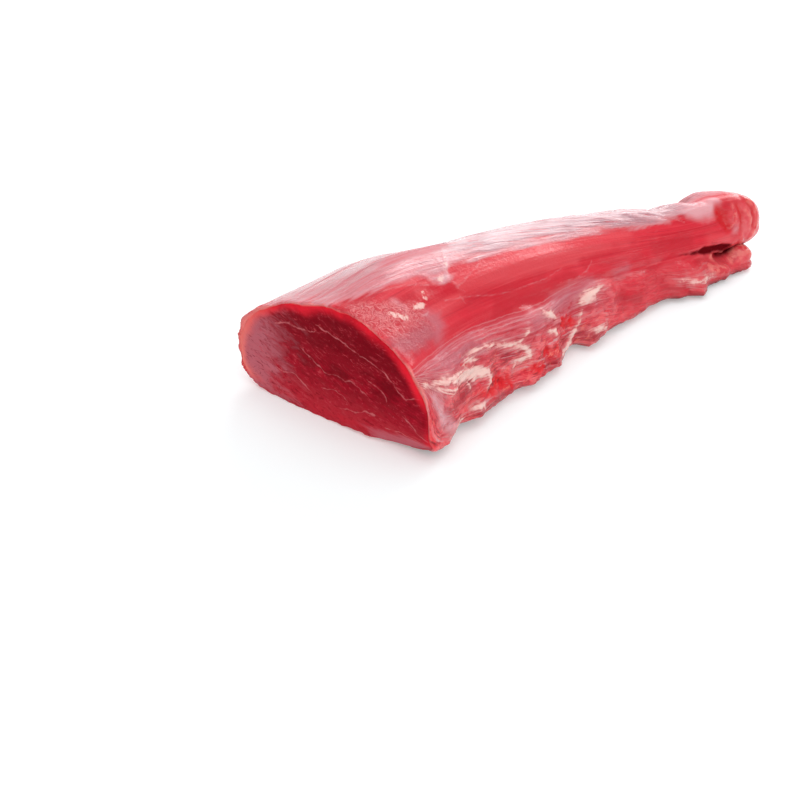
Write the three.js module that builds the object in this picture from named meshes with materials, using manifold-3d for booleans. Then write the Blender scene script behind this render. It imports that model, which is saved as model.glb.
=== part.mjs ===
// Beef tenderloin: a trimmed fillet lying on its flat underside, all one piece, in millimetres.
// The thick end is a clean knife cut. The long muscle tapers away from it, dips at a neck and ends in
// a round fold, where the tail is tucked under, so that a slit stays open above the flap below it.
// A ragged strap of side muscle runs along the foot of the near side, from the cut to that flap.
// X runs from the cut (-X) to the tail (+X), the strap is on the -Y side, and Z is up.
import * as THREE from "three";
import { LoftGeometry } from "three/addons/geometries/LoftGeometry.js";
import { mergeVertices } from "three/addons/utils/BufferGeometryUtils.js";
import Module from "manifold-3d";

// Driving dimensions
const LENGTH = 289; // from the middle of the cut to the round end of the tail
const CUT_TURN = 0.152; // how far the knife's plane is turned from square across, in radians
const FOLD_ROUND = 15; // length over which the fold's end is rounded off
const FLAP_ROUND = 9;
const FLAP_END = 0.957; // station where the flap under the fold ends

// The long muscle, at stations given as shares of the length: its reach to the near and the far side
// of the middle line, the height of its top, and how far its underside lifts off the ground
const NEAR_SIDE = [
  [0, 63], [0.04, 59], [0.1, 48.5], [0.2, 36], [0.38, 25],
  [0.57, 15], [0.71, 11], [0.85, 12], [0.95, 15], [1, 15.5],
];
const FAR_SIDE = [
  [0, 60], [0.14, 67], [0.28, 66], [0.47, 57],
  [0.66, 45], [0.8, 31.5], [0.88, 21.5], [1, 16],
];
const TOP = [
  [0, 60.5], [0.19, 62], [0.38, 56.5], [0.57, 48.7],
  [0.71, 42.8], [0.81, 37.5], [0.89, 39], [0.95, 37], [1, 35],
];
const UNDERSIDE = [[0, 0], [0.74, 0], [0.83, 5], [0.9, 8.5], [1, 9]];

// The strap: its reach to the near side, the height of its top and the depth of its section
const STRAP_SIDE = [
  [0, 58], [0.04, 59], [0.08, 55], [0.14, 46], [0.2, 41], [0.28, 36], [0.36, 34.5], [0.41, 29.5],
  [0.45, 23.5], [0.5, 26.5], [0.57, 21.5], [0.64, 18.5],
  [0.71, 15.5], [0.79, 21.5], [0.88, 20.5], [0.95, 19.5],
];
const STRAP_TOP = [[0, 45], [0.19, 41], [0.38, 35], [0.57, 27.5], [0.76, 18.5], [0.85, 11], [0.95, 8.5]];
const STRAP_DEPTH = [[0, 30], [0.28, 24], [0.66, 19], [0.95, 15]];

// The muscle's section
const CREST_SHIFT = 0.095; // how far the crest leans to the near side, as a share of the width
const WIDEST_AT = 0.27; // height of the widest line, as a share of the section's height
const NEAR_ROUNDNESS = 1.87; // 2 is an ellipse, less is straighter, more is squarer
const FAR_ROUNDNESS = 1.65;
const FOOT_ROUNDNESS = 2.8;
const STRAP_ROUNDNESS = 2.8;
const TAIL_FROM = 0.8; // station from which the section turns round, as it does in the fold
const TAIL_FULL = 0.95;
const FLUTES = 5;
const FLUTE_DEPTH = 0.8;
const RAGGED_EDGE = 0.7; // how far the strap's torn edge wanders
const SUNK = 0.12; // how far the soft underside would bulge below the ground it lies on

const OVERRUN = 0.06; // how far the muscles run on past the knife, as a share of the length
const AROUND = 64;
const AROUND_STRAP = 28;
const ALONG = 56;
const END_RINGS = 8; // over the stretch that is rounded off

const TURN = 2 * Math.PI;
const { clamp, lerp, smoothstep } = THREE.MathUtils;

// Value at s of a smooth curve through [station, value] pairs
function profile(pairs, s) {
  let i = 0;
  while (i < pairs.length - 2 && s > pairs[i + 1][0]) i++;
  const slopeAt = (k) => {
    const before = pairs[Math.max(k - 1, 0)];
    const after = pairs[Math.min(k + 1, pairs.length - 1)];
    return (after[1] - before[1]) / (after[0] - before[0]);
  };
  const [[s0, v0], [s1, v1]] = [pairs[i], pairs[i + 1]];
  const span = s1 - s0;
  const t = clamp((s - s0) / span, 0, 1);
  const ease = t * t * (3 - 2 * t);
  return lerp(v0, v1, ease) + t * (1 - t) * span * ((1 - t) * slopeAt(i) - t * slopeAt(i + 1));
}

// Cosine or sine of a superellipse: the exponent squares its corners or flattens them
const arc = (value, roundness) => Math.sign(value) * Math.abs(value) ** (2 / roundness);

// How much of its full section a body has at s, where it is rounded off over its last stretch
function roundedOff(s, end, stretch) {
  const t = clamp((s - (end - stretch)) / stretch, 0, 1);
  return Math.sqrt(1 - t * t);
}

// Stations from the overrun to the end, closer together over the rounded end
function stationsTo(end, stretch) {
  const straight = Array.from({ length: ALONG }, (_, i) => lerp(-OVERRUN, end - stretch, i / ALONG));
  const quarter = (i) => Math.sin((TURN * i) / (4 * END_RINGS));
  const rounded = Array.from({ length: END_RINGS }, (_, i) => end - stretch * (1 - quarter(i)));
  return [...straight, ...rounded, end - stretch * 0.003];
}

// A closed loft: at(s, c, n) gives a section's point [y, z] for the cosine and sine of its angle
function loft(end, round, around, at) {
  const stretch = round / LENGTH;
  const sections = stationsTo(end, stretch).map((s) =>
    Array.from({ length: around }, (_, k) => {
      const angle = (-TURN * k) / around;
      const [y, z] = at(s, Math.cos(angle), Math.sin(angle), roundedOff(s, end, stretch));
      return new THREE.Vector3(LENGTH * (s - 0.5), y, z);
    }),
  );
  return new LoftGeometry(sections, { capStart: true, capEnd: true });
}

// Shallow lengthwise grooves between bundles of muscle
function fluting(s, c, n) {
  const around = Math.sin(FLUTES * Math.atan2(n, c) + 2.5 * s);
  return FLUTE_DEPTH * around * Math.sin(TURN * (1.4 * s + 0.1));
}

function muscle() {
  return loft(1, FOLD_ROUND, AROUND, (s, c, n, shrink) => {
    const near = -profile(NEAR_SIDE, s);
    const far = profile(FAR_SIDE, s);
    const top = profile(TOP, s);
    const bottom = profile(UNDERSIDE, s);
    const crest = (near + far) / 2 - CREST_SHIFT * (far - near);
    const folded = smoothstep(s, TAIL_FROM, TAIL_FULL);
    const widest = lerp(bottom, top, lerp(WIDEST_AT, 0.5, folded));
    const side = c > 0 ? near : far;
    const upper = c > 0 ? NEAR_ROUNDNESS : FAR_ROUNDNESS;
    const roundness = lerp(n > 0 ? upper : FOOT_ROUNDNESS, 2, folded);
    const reach = n > 0 ? top - widest : (widest - bottom) * (1 + SUNK * (1 - folded));
    const groove = fluting(s, c, n) * shrink;
    return [
      crest + (side - crest) * arc(Math.abs(c), roundness) * shrink - groove * c,
      widest + reach * arc(n, roundness) * shrink + groove * n,
    ];
  });
}

function strap() {
  return loft(FLAP_END, FLAP_ROUND, AROUND_STRAP, (s, c, n, shrink) => {
    const wander = Math.sin(TURN * (9.3 * s + 0.2)) + 0.7 * Math.sin(TURN * (17.1 * s + 0.6));
    const ragged = RAGGED_EDGE * wander;
    const near = -profile(STRAP_SIDE, s) - ragged;
    const depth = profile(STRAP_DEPTH, s);
    const top = profile(STRAP_TOP, s) + 0.4 * ragged;
    const foot = 0.22 * top;
    const reach = n > 0 ? top - foot : foot * (1 + 2 * SUNK);
    const roundness = n > 0 ? STRAP_ROUNDNESS : 2;
    return [near + depth * (1 - arc(c, roundness) * shrink), foot + reach * arc(n, roundness) * shrink];
  });
}

function solidOf(geometry) {
  const bare = new THREE.BufferGeometry();
  bare.setAttribute("position", geometry.getAttribute("position"));
  bare.setIndex(geometry.index);
  const merged = mergeVertices(bare, 1e-4);
  return new wasm.Manifold(
    new wasm.Mesh({
      numProp: 3,
      vertProperties: new Float32Array(merged.getAttribute("position").array),
      triVerts: new Uint32Array(merged.index.array),
    }),
  );
}

function geometryOf(solid) {
  const { vertProperties, triVerts } = solid.getMesh();
  const geometry = new THREE.BufferGeometry();
  geometry.setAttribute("position", new THREE.BufferAttribute(vertProperties, 3));
  geometry.setIndex(new THREE.BufferAttribute(triVerts, 1));
  return geometry;
}

const wasm = await Module();
wasm.setup();

// What lies before the knife's plane, and what lies below the ground
const ROOM = 2 * LENGTH;
const beforeKnife = new THREE.BoxGeometry(ROOM, ROOM, ROOM);
beforeKnife.translate(-ROOM / 2, 0, 0);
beforeKnife.rotateZ(CUT_TURN);
beforeKnife.translate(-LENGTH / 2, 0, 0);
const belowGround = new THREE.BoxGeometry(ROOM, ROOM, ROOM);
belowGround.translate(0, 0, -ROOM / 2);

const whole = solidOf(muscle()).add(solidOf(strap()));
const flesh = whole.subtract(solidOf(beforeKnife)).subtract(solidOf(belowGround));

// The origin is on the ground, below the middle of the whole piece
const geometry = geometryOf(flesh);
geometry.computeBoundingBox();
const middle = geometry.boundingBox.getCenter(new THREE.Vector3());
geometry.translate(-middle.x, -middle.y, -geometry.boundingBox.min.z);

const tenderloin = new THREE.Mesh(
  geometry,
  new THREE.MeshStandardMaterial({ color: 0xa8283a, roughness: 0.35, metalness: 0 }),
);
tenderloin.name = "beef_tenderloin";

const group = new THREE.Group();
group.add(tenderloin);
export default group;
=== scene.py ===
# %% [markdown]
# # A beef tenderloin, raw and trimmed
# The piece lies on its flat underside. Its thick end is a clean knife cut, and its thin end is tucked
# under itself in a round fold. The solid model gives the form and the size, and this lesson adds what
# makes it meat: bundles of fibres, a torn strap of side muscle, fat, membrane and a wet shine.
# Everything is in metres in the solid model's frame, and distances on the surface are in millimetres.

# %% Load the solid model
import math

import bmesh
import bpy
import numpy as np
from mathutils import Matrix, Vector, noise


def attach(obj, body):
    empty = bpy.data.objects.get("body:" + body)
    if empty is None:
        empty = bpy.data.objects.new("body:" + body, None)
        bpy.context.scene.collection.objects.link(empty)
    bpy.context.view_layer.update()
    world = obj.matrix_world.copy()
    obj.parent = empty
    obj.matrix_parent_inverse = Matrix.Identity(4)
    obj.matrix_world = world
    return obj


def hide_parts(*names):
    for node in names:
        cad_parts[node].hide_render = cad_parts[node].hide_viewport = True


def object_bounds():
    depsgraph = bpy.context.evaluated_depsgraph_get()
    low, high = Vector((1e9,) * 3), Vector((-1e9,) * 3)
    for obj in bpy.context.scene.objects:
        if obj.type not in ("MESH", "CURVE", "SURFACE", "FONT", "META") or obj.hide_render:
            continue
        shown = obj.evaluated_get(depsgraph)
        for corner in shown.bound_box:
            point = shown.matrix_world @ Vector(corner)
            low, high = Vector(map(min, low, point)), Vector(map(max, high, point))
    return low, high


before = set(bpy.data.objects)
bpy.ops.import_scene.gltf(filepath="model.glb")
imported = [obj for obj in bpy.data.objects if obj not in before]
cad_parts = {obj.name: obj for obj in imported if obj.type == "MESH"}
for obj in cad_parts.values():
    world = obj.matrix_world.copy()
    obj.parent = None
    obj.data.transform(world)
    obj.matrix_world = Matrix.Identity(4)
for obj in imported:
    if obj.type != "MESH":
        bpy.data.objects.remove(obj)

MM = 0.001
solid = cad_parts["beef_tenderloin"]
cad_low, cad_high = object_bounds()
print("solid model from", cad_low, "to", cad_high)

# %% [markdown]
# ## The camera
# The picture was taken with a long lens from the near side of the cut end, looking down at about
# thirty degrees. The camera is placed on a sphere round the point that is at the picture's middle, which
# is easier to get right than a free position and three turns.

# %% Place the camera
AIM = Vector((-0.1024, -0.0103, 0.0))
CAMERA_DISTANCE = 0.7857
CAMERA_AZIMUTH = -40.05
CAMERA_ELEVATION = 30
LENS = 76.5


def direction(azimuth, elevation):
    """Unit vector for an azimuth and an elevation in degrees. Azimuth 0 is the near side, 90 is +X."""
    azimuth, elevation = math.radians(azimuth), math.radians(elevation)
    flat = math.cos(elevation)
    return Vector((math.sin(azimuth) * flat, -math.cos(azimuth) * flat, math.sin(elevation)))


camera_data = bpy.data.cameras.new("camera")
camera_data.lens = LENS
camera_data.sensor_width = 36
camera_data.clip_start = 0.01
camera = bpy.data.objects.new("camera", camera_data)
bpy.context.scene.collection.objects.link(camera)
back = direction(CAMERA_AZIMUTH, CAMERA_ELEVATION)
camera.location = AIM + back * CAMERA_DISTANCE
camera.rotation_euler = (-back).to_track_quat("-Z", "Y").to_euler()
bpy.context.scene.camera = camera
print("camera at", camera.location)

# %% [markdown]
# ## The flesh
# The solid's surface is made of long flat facets, too coarse to carry fibres, and subdividing them would
# only make more long facets. So a copy is merged and then remeshed into even squares of a little more
# than a millimetre. A few rounds of smoothing take the facets away and round the knife's edge a little,
# as soft meat does.


# %% Helpers for a piece
def new_piece(name, bm):
    mesh = bpy.data.meshes.new(name)
    bm.to_mesh(mesh)
    bm.free()
    piece = bpy.data.objects.new(name, mesh)
    bpy.context.scene.collection.objects.link(piece)
    return piece


def apply_modifiers(piece):
    graph = bpy.context.evaluated_depsgraph_get()
    mesh = bpy.data.meshes.new_from_object(piece.evaluated_get(graph))
    piece.modifiers.clear()
    old, piece.data = piece.data, mesh
    bpy.data.meshes.remove(old)
    mesh.name = piece.name


def smooth(bm, rounds):
    axes = {"use_axis_x": True, "use_axis_y": True, "use_axis_z": True}
    for _ in range(rounds):
        bmesh.ops.smooth_vert(bm, verts=bm.verts, factor=0.5, **axes)


# %% Copy and remesh the solid
VOXEL = 1.27 * MM
SMOOTH_ROUNDS = 5
bm = bmesh.new()
bm.from_mesh(solid.data)
bmesh.ops.remove_doubles(bm, verts=bm.verts, dist=1e-6)
flesh = new_piece("tenderloin", bm)
remesh = flesh.modifiers.new("even squares", "REMESH")
remesh.mode = "VOXEL"
remesh.voxel_size = VOXEL
apply_modifiers(flesh)

bm = bmesh.new()
bm.from_mesh(flesh.data)
smooth(bm, SMOOTH_ROUNDS)
bm.to_mesh(flesh.data)
bm.free()
print(len(flesh.data.polygons), "squares")

# %% [markdown]
# ## Where a point lies on the meat
# Fibres, fat and membrane follow the muscle, so each point gets coordinates of its own: how far it is
# along from the cut, and the angle round the middle line, where 0 is the near side, 90 the crest and 180
# the far side. The middle line is measured in thin slices and smoothed with a polynomial, since the strap
# would make it jump.


# %% Read the mesh as arrays
def positions(mesh):
    values = np.empty(len(mesh.vertices) * 3)
    mesh.vertices.foreach_get("co", values)
    return values.reshape(-1, 3)


def normals(mesh):
    values = np.empty(len(mesh.vertices) * 3)
    mesh.vertex_normals.foreach_get("vector", values)
    return values.reshape(-1, 3)


def smoothstep(low, high, value):
    t = np.clip((value - low) / (high - low), 0, 1)
    return t * t * (3 - 2 * t)


def curve(pairs, value):
    stations, heights = zip(*pairs)
    return np.interp(value, stations, heights)


point = positions(flesh.data)
print(len(point), "points")

# %% Measure the middle line and the two edges
SLICES = 40
MIDDLE_HEIGHT = 0.35  # of the slice's height
CUT_MARGIN = 12 * MM  # that isn't measured, as the knife cut slantwise there
TAIL_MARGIN = 3 * MM
edges = np.linspace(point[:, 0].min() + CUT_MARGIN, point[:, 0].max() - TAIL_MARGIN, SLICES + 1)
slices = [point[(point[:, 0] >= a) & (point[:, 0] < b)] for a, b in zip(edges[:-1], edges[1:])]
slice_x = (edges[:-1] + edges[1:]) / 2
middle_y = np.polyfit(slice_x, [(s[:, 1].min() + s[:, 1].max()) / 2 for s in slices], 4)
middle_z = np.polyfit(slice_x, [s[:, 2].max() * MIDDLE_HEIGHT for s in slices], 4)
near_edge = np.polyfit(slice_x, [s[:, 1].min() for s in slices], 5)
far_edge = np.polyfit(slice_x, [s[:, 1].max() for s in slices], 5)
print("the middle line is", round(np.polyval(middle_z, 0) / MM), "mm above the table at the origin")

# %% Measure the cut
cut_faces = [f for f in solid.data.polygons if f.normal.x < -0.9]
knife = np.array(sum((f.normal * f.area for f in cut_faces), Vector()).normalized())
cut_area = sum(f.area for f in cut_faces)
cut_middle = np.array(sum((f.center * f.area for f in cut_faces), Vector()) / cut_area)
print("cut face", round(cut_area * 1e4, 1), "square cm, its middle at", cut_middle.round(4))


# %% Give each point its place
def places(mesh):
    """Each point's position, mm along from the cut, degrees round, and mm from the middle line."""
    point = positions(mesh)
    across = point[:, 1] - np.polyval(middle_y, point[:, 0])
    height = point[:, 2] - np.polyval(middle_z, point[:, 0])
    angle = np.degrees(np.arctan2(height, -across))
    angle = np.where(angle < -90, angle + 360, angle)
    return point, (point[:, 0] - cut_middle[0]) / MM, angle, np.hypot(across, height) / MM


point, along, angle, radius = places(flesh.data)
print("the points lie from", along.min().round(), "to", along.max().round(), "mm along")

# %% [markdown]
# ## Finer squares where the detail is
# The strap is torn, the fold is wrinkled and the knife's edge is crisp, so they need smaller squares than
# the smooth muscle. The squares there are split in four, and smoothed once so that the new points leave
# the old flat squares. Splitting them all would take four times the triangles for nothing.

# %% Split the squares of the strap, the fold and the cut's edge
STRAP_EDGE = [
    [0, 22], [60, 21], [78, 18.5], [95, 17], [112, 16],
    [150, 20], [200, 12], [240, 4], [262, -14], [300, -20],
]  # mm along, and degrees round
FOLD_FROM = 240  # mm along
off_table = point[:, 2] > 0.2 * MM
in_strap = (angle < curve(STRAP_EDGE, along) + 4) & (angle > -75) & (along > -3) & off_table
in_fold = (along > FOLD_FROM) & (angle > -30) & (angle < 120)
on_flat_cut = normals(flesh.data) @ knife >= 0.995
in_rim = ((point - cut_middle) @ knife > -4 * MM) & ~on_flat_cut & off_table
fine = in_strap | in_fold | in_rim

bm = bmesh.new()
bm.from_mesh(flesh.data)
for face in bm.faces:
    face.tag = all(fine[v.index] for v in face.verts)
split = [e for e in bm.edges if any(f.tag for f in e.link_faces)]
bmesh.ops.subdivide_edges(bm, edges=split, cuts=1, use_grid_fill=True)
smooth(bm, 1)
bm.to_mesh(flesh.data)
bm.free()
triangles = sum(len(p.vertices) - 2 for p in flesh.data.polygons)
print(len(flesh.data.polygons), "faces,", triangles, "triangles")

# %% [markdown]
# ## Zones
# The surface has a few zones: the cut face, the smooth upper muscle, the torn strap below it and the fold
# at the tail. Each is a soft mask from 0 to 1. The strap's upper edge is a curve of angles along the
# piece, read off the photograph.

# %% Mask the zones
point, along, angle, radius = places(flesh.data)
normal = normals(flesh.data)
above = point[:, 2] / MM
toward_near = radius * np.cos(np.radians(angle))
knife_depth = (point - cut_middle) @ knife / MM
behind = np.maximum(-knife_depth, 0)
on_cut = smoothstep(0.5, 0.95, normal @ knife) * smoothstep(-1.8, -0.6, knife_depth)
below_edge = np.radians(curve(STRAP_EDGE, along) - angle) * radius  # mm
strap = smoothstep(-1, 4, below_edge) * smoothstep(-90, -68, angle) * (1 - on_cut)
far_foot = smoothstep(168, 186, angle) * smoothstep(250, 225, angle) * (1 - on_cut)
upper = (1 - strap) * (1 - on_cut)
fold = smoothstep(FOLD_FROM, FOLD_FROM + 15, along)
print("strap covers", round(100 * strap.mean()), "percent of the points")

# %% [markdown]
# ## Random lumps
# All relief that has no drawn shape is smooth noise of a chosen size. Its place is either the point
# itself or the grain, which is the place along and round the muscle, so that a pattern can be long with
# the fibres and short across them, or run at a slant to them. On the strap the fibres fan out from the
# point where its edge leaves the cut, and farther on they run level with that edge.

# %% Make lumps along the grain
GRAIN_RADIUS = 45  # mm, the same all along, so that the grain closes up towards the thin tail
DEPTH_SHARE = 0.3  # how much of a point's distance from the middle line counts
grain = np.stack([along, np.radians(angle) * GRAIN_RADIUS, radius * DEPTH_SHARE], axis=1)
skin = point / MM


def lumps(place, size, seed, octaves=2):
    """Smooth random values, about -1 to 1, one for each place. Size is in the units of place."""
    offset = Vector((seed * 17.31, seed * 5.17, seed * 9.73))
    scaled = place / np.array(size)
    return np.array([noise.fractal(Vector(p) + offset, 1.0, 2.0, octaves) for p in scaled])


def slanted(degrees):
    """The grain's places, turned so that a pattern runs at an angle to the muscle."""
    c, s = math.cos(math.radians(degrees)), math.sin(math.radians(degrees))
    lengthwise, crosswise, depth = grain.T
    return np.stack([lengthwise * c + crosswise * s, crosswise * c - lengthwise * s, depth], axis=1)


print("the grain reaches", (grain[:, 1].max() - grain[:, 1].min()).round(), "mm round the muscle")

# %% Make the strap's fibres fan out
FAN_FROM = 4  # mm along, where the strap's edge leaves the cut
FAN_RADIUS = 30  # mm from there, around which the fanning fibres have their usual spacing
FAN_END = 100  # degrees round, past which there is no strap and the grain is kept
fan_far = np.hypot(along - FAN_FROM, below_edge)
fan_turn = np.arctan2(below_edge, along - FAN_FROM)
straight = smoothstep(14, 55, fan_far)
fan_across = fan_turn * FAN_RADIUS * (1 - straight) + below_edge * straight
fan = np.stack([fan_far, fan_across, radius * DEPTH_SHARE], axis=1)
fan = np.where((angle > FAN_END)[:, None], grain, fan)
print("the fibres fan out over", np.degrees(fan_turn[strap > 0.5].max()).round(), "degrees")


# %% [markdown]
# ## Strokes on the surface
# Fat, membrane and hollows lie at given places, so they are drawn as strokes through a few stations, as
# a butcher would point them out. Each station is mm along, degrees round and half the width in mm. A
# stroke gives each point how far it lies inside, which is a smooth field that can raise the surface and
# colour it alike.

# %% Measure strokes
def stroke(stations, places_xy=None):
    """How far each point lies inside the stroke in mm, and its signed distance to the stroke's line."""
    inside, side = np.full(len(point), -99.0), np.full(len(point), 99.0)
    stations = stations if len(stations) > 1 else stations * 2
    for (a0, t0, r0), (a1, t1, r1) in zip(stations[:-1], stations[1:]):
        if places_xy is None:
            x, y = along - a0, np.radians(angle - t0) * radius
            dx, dy = a1 - a0, np.radians(t1 - t0) * radius
        else:
            x, y = places_xy[0] - a0, places_xy[1] - t0
            dx, dy = a1 - a0, t1 - t0
        share = np.clip((x * dx + y * dy) / np.maximum(dx * dx + dy * dy, 1e-6), 0, 1)
        gap = np.hypot(x - share * dx, y - share * dy)
        here = r0 + (r1 - r0) * share - gap
        side = np.where(here > inside, np.where(x * dy - y * dx < 0, -gap, gap), side)
        inside = np.maximum(inside, here)
    return inside, side


def strokes(drawing, places_xy=None):
    """All strokes of a drawing together."""
    inside, side = np.full(len(point), -99.0), np.full(len(point), 99.0)
    for stations in drawing:
        here, distance = stroke(stations, places_xy)
        side = np.where(here > inside, distance, side)
        inside = np.maximum(inside, here)
    return inside, side


def within(drawing, places_xy=None):
    """Only how far each point lies inside a drawing's strokes."""
    return strokes(drawing, places_xy)[0]


# %% [markdown]
# ## Fat, sinews and hollows
# Trimming leaves strings of cream fat on the strap, thin sinews over the muscle and holes where a piece
# was pulled away. They could be pieces of their own, but fat and sinew are grown on to the flesh and have
# no clear edge, so they are low relief and colour of the same surface. Noise frays the strokes' edges by
# a millimetre or so.

# %% Fat on the strap, and a little along the far side's foot
FAT = [
    [(7, 17, 0.5), (12, 15, 0.9), (18, 13, 1.1), (26, 10.5, 1.7), (34, 7.5, 1.6)],
    [(31, 7.5, 1.2), (39, 5.5, 2.2), (46, 3.5, 2.8), (53, 1.5, 2.8), (59, 0, 2.0)],
    [(60, 0, 1.4), (61, -4, 0.9), (59, -8, 0.5)], [(46, 0, 0.6), (47, -3, 0.4)],
    [(20, 10, 1.0), (25, 7, 1.0), (29, 4.5, 0.9), (35, 2.5, 0.5)],
    [(47, 10.5, 0.4), (55, 12, 0.6), (62, 11.8, 0.6), (73, 8, 0.8),
     (81, 4.5, 1.0), (88, 1.2, 1.4), (91, -2.5, 1.6)],
    [(91, -2.5, 1.7), (91, -5, 1.8), (86, -6, 1.5), (80, -7, 0.6)],
    [(84, 2, 0.5), (89, 5.5, 0.5), (93, 9, 0.25)],
    [(46, 8, 0.6), (50, 9, 0.8), (56, 7, 0.5)],
    [(107, 13, 0.7), (110, 12, 1.5), (113, 10, 1.6), (116, 7, 0.8)],
    [(109, 2, 1.4), (113, 0, 1.5)],
    [(119, -17, 1.3), (124, -15, 1.2), (128, -12, 1.0), (132, -9, 0.8), (135.5, -4, 0.5), (138, 2, 0.3)],
    [(139, 7.5, 1.6), (143, 9.5, 2.2), (148, 11.2, 1.8), (152, 12, 1.0), (157, 13, 0.2)],
    [(140, -12, 0.6), (145, -11, 1.0), (151, -12, 0.7)], [(24, -13, 0.6), (30, -14.5, 1.4), (38, -14, 0.9)],
    [(45, -12, 0.6), (50, -13, 1.0), (54, -14, 0.7)],
    [(212, -9, 0.1), (220, -10.5, 0.7), (229, -12, 0.9), (237, -13, 0.2)],
    [(25, 192, 0.8), (48, 195, 1.9), (70, 194, 1.2), (84, 190, 0.5)],
    [(112, 196, 1.0), (131, 193, 2.4), (142, 188, 1.4), (150, 183, 0.5)],
    [(186, 196, 0.8), (202, 194, 1.7), (219, 189, 0.7)],
]
FAT_FRAY = 0.9  # mm by which each of the two noises moves the fat's edge
fat = within(FAT)
fat += lumps(slanted(20), (6, 2.4, 4), 6, 3) * FAT_FRAY + lumps(skin, 2.4, 33, 3) * FAT_FRAY
print("fat covers", round(100 * (fat > 0).mean(), 1), "percent of the points")

# %% Thin lines of membrane and sinew
LINES = [
    [(80, 90, 0.3), (73, 77, 0.6), (68, 68, 0.8), (63, 60, 1.0), (60, 57, 1.0)],
    [(66, 84, 0.2), (66, 75, 0.2), (64, 66, 0.3), (61, 59, 0.4)],
    [(50, 61, 0.3), (54, 60, 0.6), (58, 58.5, 0.7), (62, 59, 0.5)],
    [(60, 55, 0.4), (63, 51, 0.3), (64, 47, 0.25), (67, 43, 0.2)],
    [(62, 48, 0.3), (68, 49.5, 0.3), (75, 53, 0.3), (84, 57, 0.3), (88, 64, 0.2)],
    [(52, 44, 0.3), (67, 40, 0.25), (80, 35, 0.25), (93, 32, 0.2), (119, 32, 0.25), (134, 36, 0.2)],
    [(129, 26, 0.2), (141, 25, 0.3), (151, 28, 0.3), (157, 36, 0.2)],
    [(62, 43, 0.3), (63, 37, 0.25)],
    [(6, 84, 0.3), (14, 79, 0.5), (26, 74, 0.6), (38, 71, 0.5), (46, 69, 0.4), (54, 61, 0.3)],
    [(20, 71, 0.3), (30, 67, 0.4), (40, 63, 0.4), (46, 59, 0.3), (52, 56, 0.3)],
    [(41, 51, 0.5)], [(44, 53, 0.4)], [(33, 43, 0.4), (36, 41.5, 0.5), (39, 42.5, 0.4)],
    [(4, 112, 0.3), (40, 104, 0.5), (66, 90, 0.4)],
    [(196, 82, 0.3), (204, 73, 0.4), (213, 63, 0.3)], [(214, 82, 0.3), (223, 72, 0.4), (232, 61, 0.3)],
    [(176, 80, 0.3), (186, 72, 0.4), (198, 67, 0.3)], [(8, 92, 0.3), (24, 84, 0.4), (44, 78, 0.3)],
    [(14, 98, 0.3), (34, 90, 0.4), (54, 80, 0.3)],
    [(20, 152, 0.3), (70, 141, 0.5), (130, 146, 0.4), (190, 150, 0.3)],
    [(96, 168, 0.3), (140, 172, 0.5), (196, 163, 0.4), (228, 158, 0.2)],
    [(34, 166, 0.3), (58, 172, 0.6), (80, 182, 0.4)],
]
line_inside, line_side = strokes(LINES)
print(len(LINES), "thin lines")

# %% Hollows, and the raw bright meat in the torn places
HOLLOWS = [
    [(58, -11, 1.3), (63, -8.5, 2.1), (70, -10, 1.8), (75, -12, 1.0)],
    [(95, -12, 1.9)],
    [(121, 1, 1.4), (127, -1, 2.2), (132, -3, 1.3)],
    [(100, -6, 0.6), (112, -9, 1.2)],
    [(44, 10, 0.6), (50, 7, 0.6)],
    [(72, 198, 1.8), (90, 200, 1.4)],
    [(160, 196, 1.6), (174, 195, 1.2)],
]
RAW = [
    [(5, 6, 1.5), (7, -4, 2.5), (9, -11, 2.0)],
    [(44, -8, 1.0), (52, -10, 1.5), (60, -9, 2.5), (69, -10, 2.5), (76, -13, 1.0)],
    [(88, -9, 1.5), (95, -12, 2.0)], [(104, -10, 1.5), (114, -12, 1.5)],
    [(123, 1, 1.5), (129, -1, 2.0)], [(24, -15, 1.5), (30, -16, 1.0)],
]
HOLLOW_FRAY = 2.4
RAW_FRAY = 3
hollow = within(HOLLOWS) + lumps(skin, 4, 11, 3) * HOLLOW_FRAY
raw = smoothstep(-3, 3, within(RAW) + lumps(skin, 5, 27, 3) * RAW_FRAY) * strap
print("hollows cover", round(100 * (hollow > 0).mean(), 1), "percent of the points")

# %% [markdown]
# ## Veils and uneven red
# Membrane is left in grey-mauve veils and small pale films, and the red muscle has brighter and darker
# stretches, partly its own uneven red and partly painted light: a painted sheen along the upper flank, a
# painted highlight on the flap, and painted shade low on the strap where the foot turns under. Both have
# no height to speak of, so these strokes only colour the surface. Where the film is
# off, the bare stretches hardly shine.

# %% Veils of grey-mauve membrane and small pale films
VEILS = [
    [(24, 17, 1.5), (34, 16, 3.0), (46, 14, 3.4), (58, 13.5, 1.5)],
    [(98, 11, 1.0), (112, 11, 2.0), (130, 13, 3.4), (143, 15.5, 2.0), (152, 18, 0.5)],
    [(30, 43, 1.5), (36, 39, 3.5), (40, 34, 3.5), (36, 28, 2.5)],
    [(18, 12, 1.5), (21, -2, 3.0), (25, -12, 2.0)],
    [(172, 17, 0.1), (182, 20, 0.4)],
    [(30, 178, 5), (62, 182, 4), (88, 178, 2)],
    [(128, 180, 4), (156, 184, 3)],
    [(206, 176, 3), (222, 172, 2)],
]
FILMS = [
    [(233, 82, 1.5), (236, 72, 2.0), (238, 68, 1.0)],
    [(237, 74, 3), (243, 71, 4.5), (249, 73, 4.5), (255, 80, 3)],
    [(52, 61, 0.8), (58, 58, 1.6), (62, 58, 1.4)],
    [(26, 58, 1.0), (27, 52, 1.2), (26, 45, 1.0)], [(12, 60, 0.8), (15, 54, 0.8)],
    [(16, 9, 0.8), (19, 0, 1.4), (24, -9, 1.6), (31, -13, 1.2)], [(262, 34, 1.0), (268, 40, 1.0)],
]
FILM_FRAY = 1.2
veil = within(VEILS)
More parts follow.
